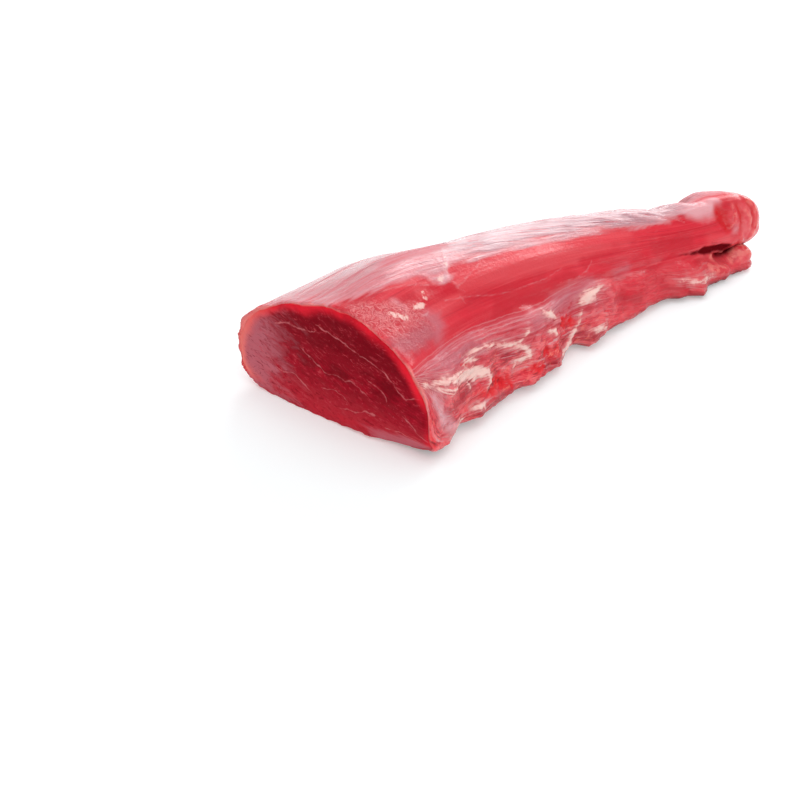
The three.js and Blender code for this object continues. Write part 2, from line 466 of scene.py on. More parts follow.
film = within(FILMS) + lumps(skin, 7, 30, 3) * FILM_FRAY
print(len(VEILS), "veils and", len(FILMS), "films")

# %% Brighter and darker stretches
# Bright stretches: partly paler muscle, partly a painted sheen on the upper flank and a painted highlight on
# the flap.
BRIGHT = [
    [(246, 26, 3), (257, 20, 3)], [(42, 57, 3), (50, 56, 3)], [(28, 70, 2), (44, 66, 3)],
    [(240, 4, 3), (262, 0, 4)], [(220, -8, 2), (240, -10, 3), (262, -12, 3)], [(40, 40, 3), (60, 42, 3)],
    [(66, 50, 4), (100, 48, 6), (150, 44, 5), (200, 40, 3)], [(96, 58, 2), (150, 58, 3), (190, 56, 2)],
]
# Dark stretches: partly darker muscle, partly painted shade low on the strap by the foot.
DARK = [
    [(84, 29, 3), (110, 27, 4), (140, 27, 3)], [(150, 34, 2), (190, 34, 4), (230, 34, 4)],
    [(50, 54, 1.6), (55, 53, 2.6), (60, 52, 2.4)], [(121, 8, 1.5), (127, 4, 2.5), (133, 2, 1.5)],
    [(78, 21, 2), (95, 21, 3), (113, 21, 2)], [(25, 36, 2), (22, 44, 1)],
    [(100, -12, 2), (112, -14, 3), (120, -12, 2)], [(28, -4, 1.5), (40, -5, 2.5), (50, -2, 1.5)],
    [(48, -15, 2), (60, -17, 2), (74, -17, 2)], [(68, 6, 1), (78, 1, 2)], [(132, -12, 2), (146, -16, 2)],
    [(168, -4, 2), (184, -10, 2)], [(204, -14, 2), (216, -16, 2)],
]
DARK_FRAY = 2
dark_inside = within(DARK) + lumps(skin, 6, 29) * DARK_FRAY
tone_and_painted_light = smoothstep(-5, 4, within(BRIGHT)) - smoothstep(-4, 3, dark_inside)
print("tone from", tone_and_painted_light.min().round(2), "to", tone_and_painted_light.max().round(2))

# %% Painted glints in cream, and bare stretches without film or shine
# Small white glints on the front, drawn as cream spots: a painted highlight.
PAINTED_GLINTS = [
    [(33, 49, 0.9), (36, 48, 1.1), (39, 47.5, 0.8)], [(42, 51, 0.3)], [(43, 55, 0.3)],
    [(57, 58, 0.7), (60, 58.5, 0.8)], [(66.5, 67, 0.8), (67, 65, 0.6)], [(70, 71, 0.4)],
    [(19, 54, 0.3), (22, 49, 1.2), (25, 46, 1.0)],
]
BARE = [
    [(42, 92, 4), (52, 94, 8), (66, 90, 8), (78, 86, 4)], [(52, 52.5, 1.8), (58, 52, 2.0)],
    [(238, 92, 4), (246, 96, 6), (256, 96, 7), (266, 94, 6)], [(250, 125, 8), (268, 125, 8)],
]
PAINTED_GLINT_FRAY = 1.2
painted_glint_spots = within(PAINTED_GLINTS) + lumps(skin, 2.6, 32, 2) * PAINTED_GLINT_FRAY
bare = smoothstep(-4, 4, within(BARE))
print(len(PAINTED_GLINTS), "flecks and", len(BARE), "bare stretches")

# %% [markdown]
# ## Relief of the muscle
# Points are pushed out and in along their normals. The muscle has long low ridges, which run with the
# grain and close up towards the tail, and fine slanting wrinkles in the skin on its top. Noise that is
# long one way and short the other gives both, and it never repeats as a wave would.

# %% Muscle bundles
SAG_HEIGHT = 0.75
BUNDLE_HEIGHT = 0.34
THREAD_HEIGHT = 0.11
WRINKLE_HEIGHT = 0.14
relief = lumps(skin, (60, 34, 34), 1, 2) * SAG_HEIGHT * (1 - on_cut)
body = upper * smoothstep(286, 262, along)
relief += lumps(grain, (95, 9, 40), 2) * BUNDLE_HEIGHT * body
relief += lumps(grain, (30, 4.5, 40), 3, 1) * THREAD_HEIGHT * body
on_top = smoothstep(58, 74, angle) * smoothstep(170, 150, angle) * body
relief += lumps(slanted(-14), (34, 4.2, 30), 4, 1) * WRINKLE_HEIGHT * on_top
print("bundles from", relief.min().round(2), "to", relief.max().round(2), "mm")

# %% [markdown]
# ## Relief of the strap
# The strap was pulled off its neighbours by hand, so it is torn: its lumps are higher, shorter and
# slanted, with thin cords and gaps between them. A cord is where a noise crosses zero, which gives long
# branching lines, and a gap is where another noise is high. The far side's foot is torn a little too.

# %% The torn strap
TORN = [
    [0, 0.7], [40, 0.8], [70, 1.0], [125, 1.0], [150, 0.75],
    [175, 0.35], [225, 0.35], [260, 0.6], [300, 0.5],
]  # mm along, and how torn the strap is there
TEAR_HEIGHT = 1.4
CORD_HEIGHT = 0.4
GAP_DEPTH = 0.8
FIBRE_HEIGHT = 0.12
GRIT_HEIGHT = 0.42
FLAKE_HEIGHT = 0.3
torn = strap * curve(TORN, along) * smoothstep(0, 9, below_edge) + 0.5 * far_foot
relief += lumps(slanted(20), (17, 9, 12), 5, 3) * TEAR_HEIGHT * torn
cords = np.clip(1 - np.abs(lumps(fan, (26, 6, 10), 7, 2)) * 5, 0, 1)
relief += cords * CORD_HEIGHT * torn
gaps = smoothstep(0.3, 0.6, lumps(slanted(12), (18, 5, 9), 8, 3)) * smoothstep(6, 14, below_edge)
relief -= gaps * GAP_DEPTH * torn
relief += lumps(fan, (24, 1.7, 10), 18) * FIBRE_HEIGHT * strap
relief += lumps(skin, 3.2, 9, 3) * GRIT_HEIGHT * torn
relief += lumps(fan, (9, 2.4, 6), 24, 3) * FLAKE_HEIGHT * torn
print("gaps cover", round(100 * (gaps * strap > 0.5).mean(), 1), "percent of the points")

# %% The crease above it, the fat, the lines and the hollows
CREASE_DEPTH = 0.8
CREASE_WIDTH = 2.0
FAT_HEIGHT = 0.5
LINE_HEIGHT = 0.22
HOLLOW_DEPTH = 1.3
LIP_HEIGHT = 0.25  # of the low lip round a hollow
crease = np.exp(-((below_edge - 0.8) / CREASE_WIDTH) ** 2) * (1 - on_cut) * smoothstep(-90, -70, angle)
uneven = 0.6 + 0.8 * lumps(grain, (22, 30, 30), 10)
relief -= crease * CREASE_DEPTH * uneven * smoothstep(4, 30, along)
relief += smoothstep(-0.5, 1.1, fat) * FAT_HEIGHT * (1 - on_cut)
relief += smoothstep(-0.9, 0.6, line_inside) * LINE_HEIGHT * (1 - on_cut)
relief -= smoothstep(-0.8, 1.8, hollow) * HOLLOW_DEPTH * (1 - on_cut)
relief += np.exp(-((hollow + 1.6) / 0.8) ** 2) * LIP_HEIGHT * strap
print("relief from", relief.min().round(2), "to", relief.max().round(2), "mm")

# %% [markdown]
# ## The fold
# At the tail the muscle is rolled in on itself. From the near side its round end shows a soft red hollow,
# a ridge beside it and the turns of the roll as broken rings. These forms are strokes too, but in the
# plane of the side view, mm along and mm above the table, because the place round the muscle loses its
# meaning at the very end. The wrinkles over its neck and the dome above are strokes on the surface again.

# %% Ridges, dimples and the slit in the side view
RIDGES = [
    [(263.5, 35, 0.4), (263.5, 32, 0.9), (262, 28, 0.9), (259, 25, 0.3)],
    [(271, 31, 0.8), (273, 27, 1.0), (271, 22, 0.6)],
    [(274, 36, 0.6), (278.5, 32.5, 0.9), (279, 28, 0.9), (277, 22, 0.9), (272, 17, 0.7)],
    [(245, 12.2, 1.9)], [(254, 12.5, 1.6)], [(266, 19, 0.8), (267, 16, 0.6)],
    [(256, 8.5, 1.2), (268, 8, 1.4)], [(238, 9, 1.5), (249, 6.5, 1.5)],
]
DIMPLES = [
    [(254, 34, 2.2), (255, 31, 3.4), (257, 26, 2.2)],
    [(267, 34, 0.6), (267, 28, 0.9), (265, 22.5, 0.5)],
    [(275, 34, 0.4), (276, 29, 0.6), (274.5, 23, 0.4)],
]
SLIT = [
    (222, 19, 0.0), (230, 17.5, 0.2), (236, 17, 1.0), (241, 16.4, 2.2), (248, 15.6, 2.0), (258, 14.8, 1.6),
]
RIDGE_HEIGHT = 0.8
DIMPLE_DEPTH = 1.6
SLIT_DEPTH = 1.4
ROLL_HEIGHT = 0.35
side_view = (along, above)
near_fold = smoothstep(215, 228, along) * smoothstep(-3, 2, toward_near)
ridge = within(RIDGES, side_view) + lumps(skin, 4, 12) * 0.8
dimple = within(DIMPLES, side_view) + lumps(skin, 5, 22) * 0.8
slit = within([SLIT], side_view) + lumps(skin, 4, 23) * 0.4
relief += smoothstep(-1.4, 1.2, ridge) * RIDGE_HEIGHT * near_fold
dented = smoothstep(-2.4, 3.0, dimple) * DIMPLE_DEPTH * near_fold
relief -= dented + smoothstep(-1, 1, slit) * SLIT_DEPTH * near_fold
relief += lumps(skin, (9, 9, 7), 19) * ROLL_HEIGHT * fold
print("the fold has", len(RIDGES), "ridges and", len(DIMPLES), "dimples")

# %% Wrinkles, the dome and the flap's tip
WRINKLES = [
    [(184, 100, 0.2), (192, 88, 0.5), (201, 79, 0.6), (211, 71, 0.5), (222, 66, 0.2)],
    [(190, 104, 0.2), (198, 93, 0.5), (207, 84, 0.7), (217, 76, 0.5), (228, 71, 0.2)],
    [(199, 108, 0.2), (206, 98, 0.6), (214, 89, 0.7), (224, 81, 0.5), (234, 76, 0.2)],
    [(166, 96, 0.2), (176, 85, 0.5), (186, 77, 0.5), (196, 72, 0.2)],
]
DOME = [(230, 100, 5), (237, 88, 6), (243, 74, 5)]
DOME_BACK = [(231, 108, 4), (236, 92, 5)]
WRINKLE_RISE = 0.45
ROOF_SAG = 1.6  # mm that the fold's underside sags towards the flap
DOME_HEIGHT = 0.8
DOME_BACK_HEIGHT = 1.4
NECK_DEPTH = 0.9  # mm that the neck before the dome is drawn in
TIP_RISE = 4.0  # mm that the flap's tip turns up towards the fold
wrinkles = within(WRINKLES)
relief += smoothstep(-1.8, 1.0, wrinkles + lumps(skin, 6, 25) * 0.8) * WRINKLE_RISE
roof = smoothstep(-0.1, -0.6, normal[:, 2]) * smoothstep(228, 245, along) * smoothstep(4, 9, above)
relief += roof * ROOF_SAG
dome = smoothstep(-4, 4, within([DOME_BACK])) * DOME_BACK_HEIGHT
dome += smoothstep(-3, 5, within([DOME])) * DOME_HEIGHT
relief += dome - np.exp(-((along - 222) / 6) ** 2) * NECK_DEPTH * smoothstep(40, 80, angle)
tip = smoothstep(258, 266, along) * smoothstep(282, 274, along) * smoothstep(0.5, 0.9, normal[:, 2])
tip *= smoothstep(13, 11, above)
relief += TIP_RISE * tip * smoothstep(20, -5, angle)
print("the dome rises", dome.max().round(2), "mm")

# %% [markdown]
# ## The cut's rim
# Along its rim the cut is translucent and rolls over a little into the skin. The distance to the rim comes
# from the solid's own cut face: its outline is made of the edges that only one of its faces has. The
# knife also left a faint wave across the face.

# %% Measure the distance to the rim
knife_across = np.array([-knife[1], knife[0], 0])
cut_u = (point - cut_middle) @ knife_across / MM


def in_the_cut(place):
    return (np.dot(np.array(place) - cut_middle, knife_across) / MM, place[2] / MM)


sides = {}
for face in cut_faces:
    corners = [tuple(round(c, 6) for c in solid.data.vertices[i].co) for i in face.vertices]
    for a, b in zip(corners, corners[1:] + corners[:1]):
        sides.setdefault(frozenset((a, b)), []).append((a, b))
lone = [used[0] for used in sides.values() if len(used) == 1]
outline = [(in_the_cut(a), in_the_cut(b)) for a, b in lone]
rim_gap = np.full(len(point), 99.0)
for (u0, v0), (u1, v1) in outline:
    du, dv = u1 - u0, v1 - v0
    share = np.clip(((cut_u - u0) * du + (above - v0) * dv) / max(du * du + dv * dv, 1e-9), 0, 1)
    rim_gap = np.minimum(rim_gap, np.hypot(cut_u - u0 - share * du, above - v0 - share * dv))
print("the cut's outline has", len(outline), "edges")

# %% Round the rim, and add the knife's wave
RIM_DROP = 1.5
RIM_WIDTH = 2.6
SKIN_ROLL = 0.3
SKIN_UNEVEN = 1.1
WAVE_HEIGHT = 0.45
PORE_HEIGHT = 0.12
off_foot = smoothstep(3, 9, above)
relief -= np.exp(-(rim_gap / RIM_WIDTH) ** 2) * RIM_DROP * on_cut * off_foot
near_rim = smoothstep(-9, -1, knife_depth) * (1 - on_cut) * off_foot
relief += near_rim * (SKIN_ROLL + SKIN_UNEVEN * lumps(skin, (24, 9, 8), 26))
relief += (lumps(skin, (30, 30, 18), 13) * WAVE_HEIGHT + lumps(skin, 4, 14) * PORE_HEIGHT) * on_cut
print("relief from", relief.min().round(2), "to", relief.max().round(2), "mm")

# %% [markdown]
# ## The ragged foot
# Where the meat meets the table its edge wanders in and out, and here and there it is tucked under. The
# large bays and tongues of the near side are a curve along the piece, and noise adds the small ones. The
# shift is level, and it fades out upwards and towards the middle, so that the underside stays flat.

# %% Wander the foot
FOOT_OUT = [
    [0, 0.5], [14, 3.4], [22, 5.2], [30, 2.0], [37, 2.0], [43, 10.0], [50, 15.0], [58, 10.0], [70, 6.3],
    [80, 8.4], [88, 11.0], [96, 6.4], [104, 5.2], [112, 7.6], [122, 1.2], [132, 1.0], [138, 10.5],
    [146, 4.8], [154, 2.4], [160, 3.8], [168, 7.2], [174, 7.2], [182, 4.4], [192, 5.0], [205, 9.8],
    [211, 9.4], [217, 5.6], [223, 9.8], [232, 2.6], [246, 1.8], [262, 1.9], [272, 4.0], [285, 4.0],
]  # mm along, and mm that the near foot stands out
FOOT_WANDER = 0.9
FOOT_TUCK = 2.2
FOOT_HEIGHT = 9
FOOT_REACH = 9
TUCK_HEIGHT = 2.8
outward = np.zeros(len(point))
for edge, side, amount, seed in ((near_edge, -1, 1.0, 15), (far_edge, 1, 1.6, 16)):
    inner = (point[:, 1] - np.polyval(edge, point[:, 0])) / MM * -side
    close = np.exp(-(np.maximum(inner, 0) / FOOT_REACH) ** 2)
    wander = lumps(skin * [1, 0, 0.4], (11, 9, 9), seed, 3) * FOOT_WANDER * amount
    if side < 0:
        wander = wander + curve(FOOT_OUT, along)
    tuck = smoothstep(0, 0.35, lumps(skin * [1, 0, 0], (19, 9, 9), seed + 2))
    tuck = tuck * np.exp(-(above / TUCK_HEIGHT) ** 2)
    outward += side * close * (wander * np.exp(-(above / FOOT_HEIGHT) ** 2) - tuck * FOOT_TUCK)
outward *= smoothstep(0, 12, along) * smoothstep(284, 270, along)
print("the foot moves by up to", np.abs(outward).max().round(1), "mm")

# %% [markdown]
# ## Slack meat at the ends
# The thick end sags under its own weight: its far lower corner spreads on the table, the side above it is
# drawn in, and the near corner of the cut lifts a little. The far side drops behind the fold's dome. These
# shifts are sideways and up or down, each a smooth bump round its own place.

# %% Shape the corners of the cut
FLARE = 6.0  # mm that the far lower corner of the cut spreads on the table
WAIST = 4.5  # mm that the far side is drawn in above it
FAR_SHOULDER_OUT = 1.6  # mm that the shoulder above that stands out
CORNER_BACK = 6.0  # mm that the near lower corner of the cut draws back
CORNER_LIFT = 2.2  # mm that it stands off the table
SHOULDER_IN = 2.3  # mm that the near shoulder of the cut is flattened
far_end = smoothstep(60, 10, along) * smoothstep(22, 52, -toward_near)
outward += FLARE * np.exp(-(above / 3.5) ** 2) * far_end
outward -= WAIST * np.exp(-((above - 15) / 9) ** 2) * far_end
shoulder = np.exp(-((above - 36) / 9) ** 2) * smoothstep(45, 5, along) * smoothstep(100, 140, angle)
outward += FAR_SHOULDER_OUT * shoulder
corner = smoothstep(18, 52, cut_u)
backward = CORNER_BACK * corner * np.exp(-(above / 8) ** 2) * np.exp(-behind / 12)
lifted = CORNER_LIFT * smoothstep(0, 40, cut_u) * np.exp(-(behind / 6) ** 2) * np.exp(-(above / 9) ** 2)
drawn_in = SHOULDER_IN * smoothstep(24, 46, angle) * smoothstep(98, 72, angle) * np.exp(-(behind / 26) ** 2)
drawn_in *= smoothstep(12, 34, radius)
print("the cut's corner lifts by", lifted.max().round(1), "mm")

# %% Lower the far side
FAR_SLACK = 2.6  # mm that the far side of the muscle's middle is lower than the solid's
FAR_HOLLOW = 1.2  # mm more in a shallow hollow there
NECK_DIP = 3.2  # mm that the far side drops in front of the fold's dome
NECK_RISE = 1.8  # mm that the dome stands up behind it
SHOULDER_UP = 1.8  # mm that the far shoulder of the cut stands up
lowered = FAR_SLACK * smoothstep(40, 90, along) * smoothstep(208, 165, along)
lowered += FAR_HOLLOW * np.exp(-((along - 86) / 16) ** 2)
lowered *= smoothstep(85, 115, angle) * smoothstep(185, 155, angle)
far_fold = smoothstep(92, 118, angle) * smoothstep(195, 165, angle)
lowered += NECK_DIP * smoothstep(224, 238, along) * smoothstep(253, 246, along) * far_fold
lowered -= NECK_RISE * np.exp(-((along - 259) / 7) ** 2) * far_fold
far_shoulder = smoothstep(112, 132, angle) * smoothstep(176, 156, angle)
lowered -= SHOULDER_UP * smoothstep(32, 0, along) * far_shoulder
print("the far side drops by up to", lowered.max().round(1), "mm")

# %% [markdown]
# ## Move the points
# The relief goes along the normals in one step, so that no form is built on another one's moved points,
# and the shifts are added to it. The relief fades out towards the ground, so the meat rests on its whole
# flat underside, and no point goes below the table.

# %% Push the points
REST_BAND = 1.2  # mm above the ground over which the relief fades in
BOX_ROOM = 2 * MM  # that the meat may stand out of the solid's box
moved = point + normal * (relief * MM)[:, None]
resting = 1 - smoothstep(0, REST_BAND, above)
moved[:, 2] = moved[:, 2] * (1 - resting) + point[:, 2] * resting
moved[:, 0] += backward * MM
moved[:, 1] += (outward + drawn_in * np.cos(np.radians(angle))) * MM
moved[:, 2] += (lifted - lowered - drawn_in * np.sin(np.radians(angle))) * MM
moved[:, 2] = np.maximum(moved[:, 2], 0)
moved = np.clip(moved, np.array(cad_low) - BOX_ROOM, np.array(cad_high) + BOX_ROOM)
flesh.data.vertices.foreach_set("co", moved.ravel())
flesh.data.update()
print("relief from", relief.min().round(2), "to", relief.max().round(2), "mm")


# %% [markdown]
# ## Fields for the colours
# The masks are written on the mesh as attributes, which a material reads by name. They are smooth, and the
# material sharpens them with its own noise, so the edges stay crisp at any size. One more field is
# measured from the finished relief: how hollow a point is beside its neighbours, which the colours use
# to paint shade into the hollows and a highlight on the ridges.

# %% Measure how sunken each point is
def neighbour_mean(ends, values):
    total = np.zeros_like(values)
    np.add.at(total, ends[:, 0], values[ends[:, 1]])
    np.add.at(total, ends[:, 1], values[ends[:, 0]])
    count = np.bincount(ends.ravel(), minlength=len(values))
    return total / (count[:, None] if values.ndim == 2 else count)


ends = np.empty(len(flesh.data.edges) * 2, dtype=np.int32)
flesh.data.edges.foreach_get("vertices", ends)
ends = ends.reshape(-1, 2)
length = np.linalg.norm(moved[ends[:, 0]] - moved[ends[:, 1]], axis=1) / MM
spacing = np.bincount(ends.ravel(), weights=np.repeat(length, 2)) / np.bincount(ends.ravel())
sunken = ((neighbour_mean(ends, moved) - moved) * normals(flesh.data)).sum(axis=1) / MM / spacing ** 2
for _ in range(2):
    sunken = neighbour_mean(ends, sunken)
print("hollowness from", sunken.min().round(2), "to", sunken.max().round(2), "per mm")

# %% [markdown]
# ## Marbling
# Fat runs through the muscle in thin branching sheets, which the knife cuts into fine pale seams. They are
# strokes too, in the plane of the cut: mm from the far to the near side, mm above the table, and half the
# width in mm. They are too thin for the mesh, so only the colour uses them.

# %% Seams of fat in the cut
SEAMS = [
    [(-6, 47, 0.2), (1, 46, 0.2), (13, 44, 0.2), (19, 42, 0.2), (25, 40, 0.3), (32, 38, 0.3), (36, 35, 0.2)],
    [(36, 35, 0.2), (40, 31, 0.3), (44, 29, 0.3), (48, 31, 0.2), (56, 33, 0.2)],
    [(-16, 30, 0.2), (-12, 27, 0.2), (-7, 25, 0.3), (2, 25, 0.2), (9, 25, 0.2), (14, 26, 0.2), (22, 22, 0.2)],
    [(7, 10, 0.2), (14, 11, 0.2), (20, 13, 0.2), (26, 14, 0.2)],
    [(44, 19, 0.2), (48, 17, 0.2), (51, 14, 0.3), (56, 10, 0.2)],
    [(32, 9, 0.2), (39, 10, 0.2), (45, 9, 0.2), (51, 8, 0.2)],
    [(-34, 37, 0.2), (-26, 41, 0.2), (-17, 40, 0.2), (-11, 43, 0.2)],
    [(-42, 20, 0.2), (-33, 16, 0.3), (-22, 17, 0.2), (-14, 12, 0.2)],
    [(-4, 17, 0.2), (3, 18, 0.2), (8, 16, 0.2)],
    [(24, 30, 0.2), (30, 28, 0.2), (33, 24, 0.2)],
]
seam_inside, seam_side = strokes(SEAMS, (cut_u, above))
print("the cut runs from", cut_u[on_cut > 0.5].min().round(), "to", cut_u[on_cut > 0.5].max().round(), "mm")

# %% [markdown]
# ## Silverskin, the dull front and the dark slit
# A thin silvery skin lies over the crest and the far side. Its edge frays along the grain, and on the far
# side it has gaps where the red muscle shows. Behind the cut's rim is a dull dry patch. The slit under
# the fold is dark where it is deep, so the distance behind the near edge stands for its shade.

# %% Silverskin over the crest
SILVER_EDGE = [
    [0, 90], [12, 79], [26, 72], [38, 67], [46, 66], [53, 62], [58, 57], [62, 58], [68, 64], [78, 68],
    [90, 65], [114, 60], [128, 60], [145, 62], [160, 63], [175, 65], [190, 62], [203, 61], [211, 62],
    [222, 70], [234, 74], [300, 95],
]  # mm along, and degrees round
streaks = 4 * lumps(grain, (26, 8, 40), 31) + 6 * lumps(grain, (34, 2.6, 40), 37)
silver = smoothstep(-6, 10, angle - curve(SILVER_EDGE, along) + streaks) * smoothstep(176, 150, angle)
silver *= 1 - 0.45 * bare
far_gap = smoothstep(122, 136, angle + 9 * lumps(grain, (40, 14, 40), 35))
far_gap = far_gap * smoothstep(-0.2, 0.15, lumps(grain, (60, 15, 40), 36))
far_gap *= smoothstep(248, 226, along)
silver *= (1 - 0.85 * far_gap) * smoothstep(286, 272, along)
silver = silver * (1 - on_cut) * (1 - 0.85 * fold * smoothstep(100, 88, angle))
print("silverskin covers", round(100 * (silver > 0.5).mean()), "percent of the points")

# %% The dull front, and the tail's own colour
FRONT = [[(6, 62, 8), (16, 50, 10), (26, 44, 8), (30, 36, 5)], [(16, 38, 4), (24, 34, 4)]]
LOW_FRONT = [[(8, 37, 2), (14, 34, 4), (22, 33, 4), (31, 33, 4)]]
FRONT_FRAY = 1.5
front = smoothstep(-6, 5, within(FRONT)) * upper
low_front = within(LOW_FRONT) + lumps(skin, 5, 34, 3) * FRONT_FRAY
facing_up = smoothstep(0.45, 0.85, normal[:, 2]) * smoothstep(284, 272, along)
tail = smoothstep(256, 270, along) * (1 - 0.6 * facing_up)
print("the dull front covers", round(100 * (front > 0.5).mean(), 1), "percent of the points")

# %% The shade in the slit
CLEFT = [[232, 17], [248, 15], [262, 13], [285, 11]]  # mm along, and mm above the table
CLEFT_HALF = 5  # mm up and down from there
CLEFT_MOUTH = [[228, 24], [246, 9], [290, 8]]  # mm along, and mm behind the near edge
CLEFT_DARKENING = 0.4  # mm of slit that each mm behind the mouth counts for
OUTSIDE = -9.0  # mm, far from any stroke
at_fold = near_fold > 0.02
in_cleft = (along > 225) & (angle < 80) & (np.abs(above - curve(CLEFT, along)) < CLEFT_HALF)
behind_edge = (point[:, 1] - np.polyval(near_edge, point[:, 0])) / MM
shaded = np.maximum(slit, (behind_edge - curve(CLEFT_MOUTH, along)) * CLEFT_DARKENING)
shaded = np.where(in_cleft, shaded, np.where(at_fold, slit, OUTSIDE))
print("the slit's shade covers", round(100 * (shaded > 0).mean(), 1), "percent of the points")

# %% Keep the fields on the mesh
fields = {
    "grain": np.stack([along, np.radians(angle) * GRAIN_RADIUS, radius], axis=1),
    "fan": fan,
    "cut": neighbour_mean(ends, neighbour_mean(ends, on_cut)),
    "cut_place": np.stack([cut_u, above, knife_depth], axis=1),
    "edge_gap": np.where(on_cut > 0.5, rim_gap, behind),
    "seam_side": seam_side,
    "seam_inside": seam_inside,
    "strap": np.maximum(strap, 0.7 * far_foot),
    "torn": torn,
    "below_edge": below_edge,
    "fat": fat,
    "line_inside": line_inside,
    "line_side": line_side,
    "hollow": hollow,
    "raw": raw,
    "veil": veil,
    "film": film,
    "painted_glint_spots": painted_glint_spots,
    "bare": bare,
    "tone_and_painted_light": tone_and_painted_light * (1 - on_cut),
    "silver": silver,
    "wrinkles": wrinkles,
    "front": front,
    "low_front": low_front,
    "tail": tail,
    "ridge": np.where(at_fold, ridge, OUTSIDE),
    "dimple": np.where(at_fold, dimple, OUTSIDE),
    "slit": shaded,
    "foot": np.exp(-(above / 5.0) ** 2) * (1 - on_cut) * smoothstep(3, 14, along),
    "sunken": np.clip(sunken, -2, 2),
}
for name, values in fields.items():
    vector = values.ndim == 2
    attribute = flesh.data.attributes.new(name, "FLOAT_VECTOR" if vector else "FLOAT", "POINT")
    attribute.data.foreach_set("vector" if vector else "value", values.astype(np.float32).ravel())
print(len(fields), "fields kept on", len(point), "points")

# %% [markdown]
# ## Materials
# Meat is translucent and wet: light goes in, comes out redder, and a thin film of juice shines on top. The
# Principled shader does both, with subsurface scattering and a coat. The colours are mixed in layers,
# from the red muscle up to the fat, and each layer is painted over the last by a mask. A small class
# keeps the many nodes readable: an addition or a layer of paint is then one short line.


# %% Helpers for nodes
class Nodes:
    """Adds nodes to one tree and links them. An input is a socket, a number, a vector or a colour."""

    def __init__(self, tree):
        self.tree = tree
        tree.nodes.clear()

    def put(self, socket, value):
        if hasattr(value, "is_output"):
            self.tree.links.new(value, socket)
        else:
            socket.default_value = value

    def add(self, kind, inputs=None, **settings):
        node = self.tree.nodes.new(kind)
        for name, value in settings.items():
            setattr(node, name, value)
        for name, value in (inputs or {}).items():
            self.put(node.inputs[name], value)
        return node

    def mix(self, share, first, second):
        node = self.add("ShaderNodeMix", data_type="RGBA")
        sockets = {s.identifier: s for s in node.inputs}
        for name, value in (("Factor_Float", share), ("A_Color", first), ("B_Color", second)):
            self.put(sockets[name], value)
        return next(s for s in node.outputs if s.identifier == "Result_Color")

    def math(self, operation, first, second=0.0):
        return self.add("ShaderNodeMath", {0: first, 1: second}, operation=operation).outputs["Value"]

    def plus(self, first, second):
        return self.math("ADD", first, second)

    def minus(self, first, second):
        return self.math("SUBTRACT", first, second)

    def times(self, first, *others):
        for other in others:
            first = self.math("MULTIPLY", first, other)
        return first

    def paint(self, under, over, *masks):
        """Lay a colour over what is under it, as thickly as all the masks together allow."""
        return self.mix(self.times(*masks), under, over)

    def ramp(self, value, low, high, to_low=0.0, to_high=1.0, smooth=True):
        inputs = {"Value": value, "From Min": low, "From Max": high, "To Min": to_low, "To Max": to_high}
        kind = "SMOOTHSTEP" if smooth else "LINEAR"
        return self.add("ShaderNodeMapRange", inputs, interpolation_type=kind).outputs["Result"]

    def field(self, name, output="Fac"):
        return self.add("ShaderNodeAttribute", attribute_name=name).outputs[output]

    def clouds(self, place, period, turned=0.0, detail=3.0, rough=0.5, warp=0.0, shift=0.0):
        """Noise from about 0 to 1, with the given period along each axis of the place, turned about Z."""
        turn = self.add("ShaderNodeMapping", {"Vector": place, "Rotation": (0, 0, math.radians(turned))})
        inputs = {"Vector": turn.outputs["Vector"], "Scale": tuple(1 / p for p in period),
                  "Location": (shift, shift, shift)}
        sized = self.add("ShaderNodeMapping", inputs)
        inputs = {"Vector": sized.outputs["Vector"], "Scale": 1.0, "Detail": detail, "Roughness": rough,
                  "Distortion": warp}
        return self.add("ShaderNodeTexNoise", inputs).outputs["Fac"]

    def tell(self, layer):
        print(layer, "done,", len(self.tree.nodes), "nodes so far")


def new_material(name):
    material = bpy.data.materials.new(name)
    material.use_nodes = True
    return material, Nodes(material.node_tree)


def colour(red, green, blue):
    return (red, green, blue, 1.0)


def even(size):
    """The same period along all three axes."""
    return (size, size, size)


beef_material, beef = new_material("raw beef")
print("material", beef_material.name)

# %% Fields that several layers share
grain_place = beef.field("grain", "Vector")
fan_place = beef.field("fan", "Vector")
place = beef.add("ShaderNodeTexCoord").outputs["Object"]
along_mm = beef.add("ShaderNodeSeparateXYZ", {"Vector": grain_place}).outputs["X"]
below_edge_mm = beef.field("below_edge")
strap_field = beef.field("strap")
raw_field = beef.field("raw")
tone_and_painted_light_field = beef.field("tone_and_painted_light")
silver_field = beef.field("silver")
front_field = beef.field("front")
beef.tell("fields")

# %% Noises that several layers share
fibres = beef.clouds(grain_place, (40, 1.3, 30), warp=0.25)
fan_blots = beef.clouds(fan_place, (17, 5, 9), detail=4, rough=0.6, warp=0.5, shift=14)
threads = beef.clouds(fan_place, (16, 1.5, 8), detail=4, rough=0.62, warp=0.7, shift=21)
blotches = beef.clouds(place, (0.035, 0.03, 0.03), shift=5)
ragged = beef.clouds(place, even(0.004), rough=0.6)
wobble = beef.ramp(ragged, 0.2, 0.8, -0.3, 0.3, smooth=False)
blot_shift = beef.ramp(fan_blots, 0.25, 0.75, -1, 1, smooth=False)
beef.tell("noises")
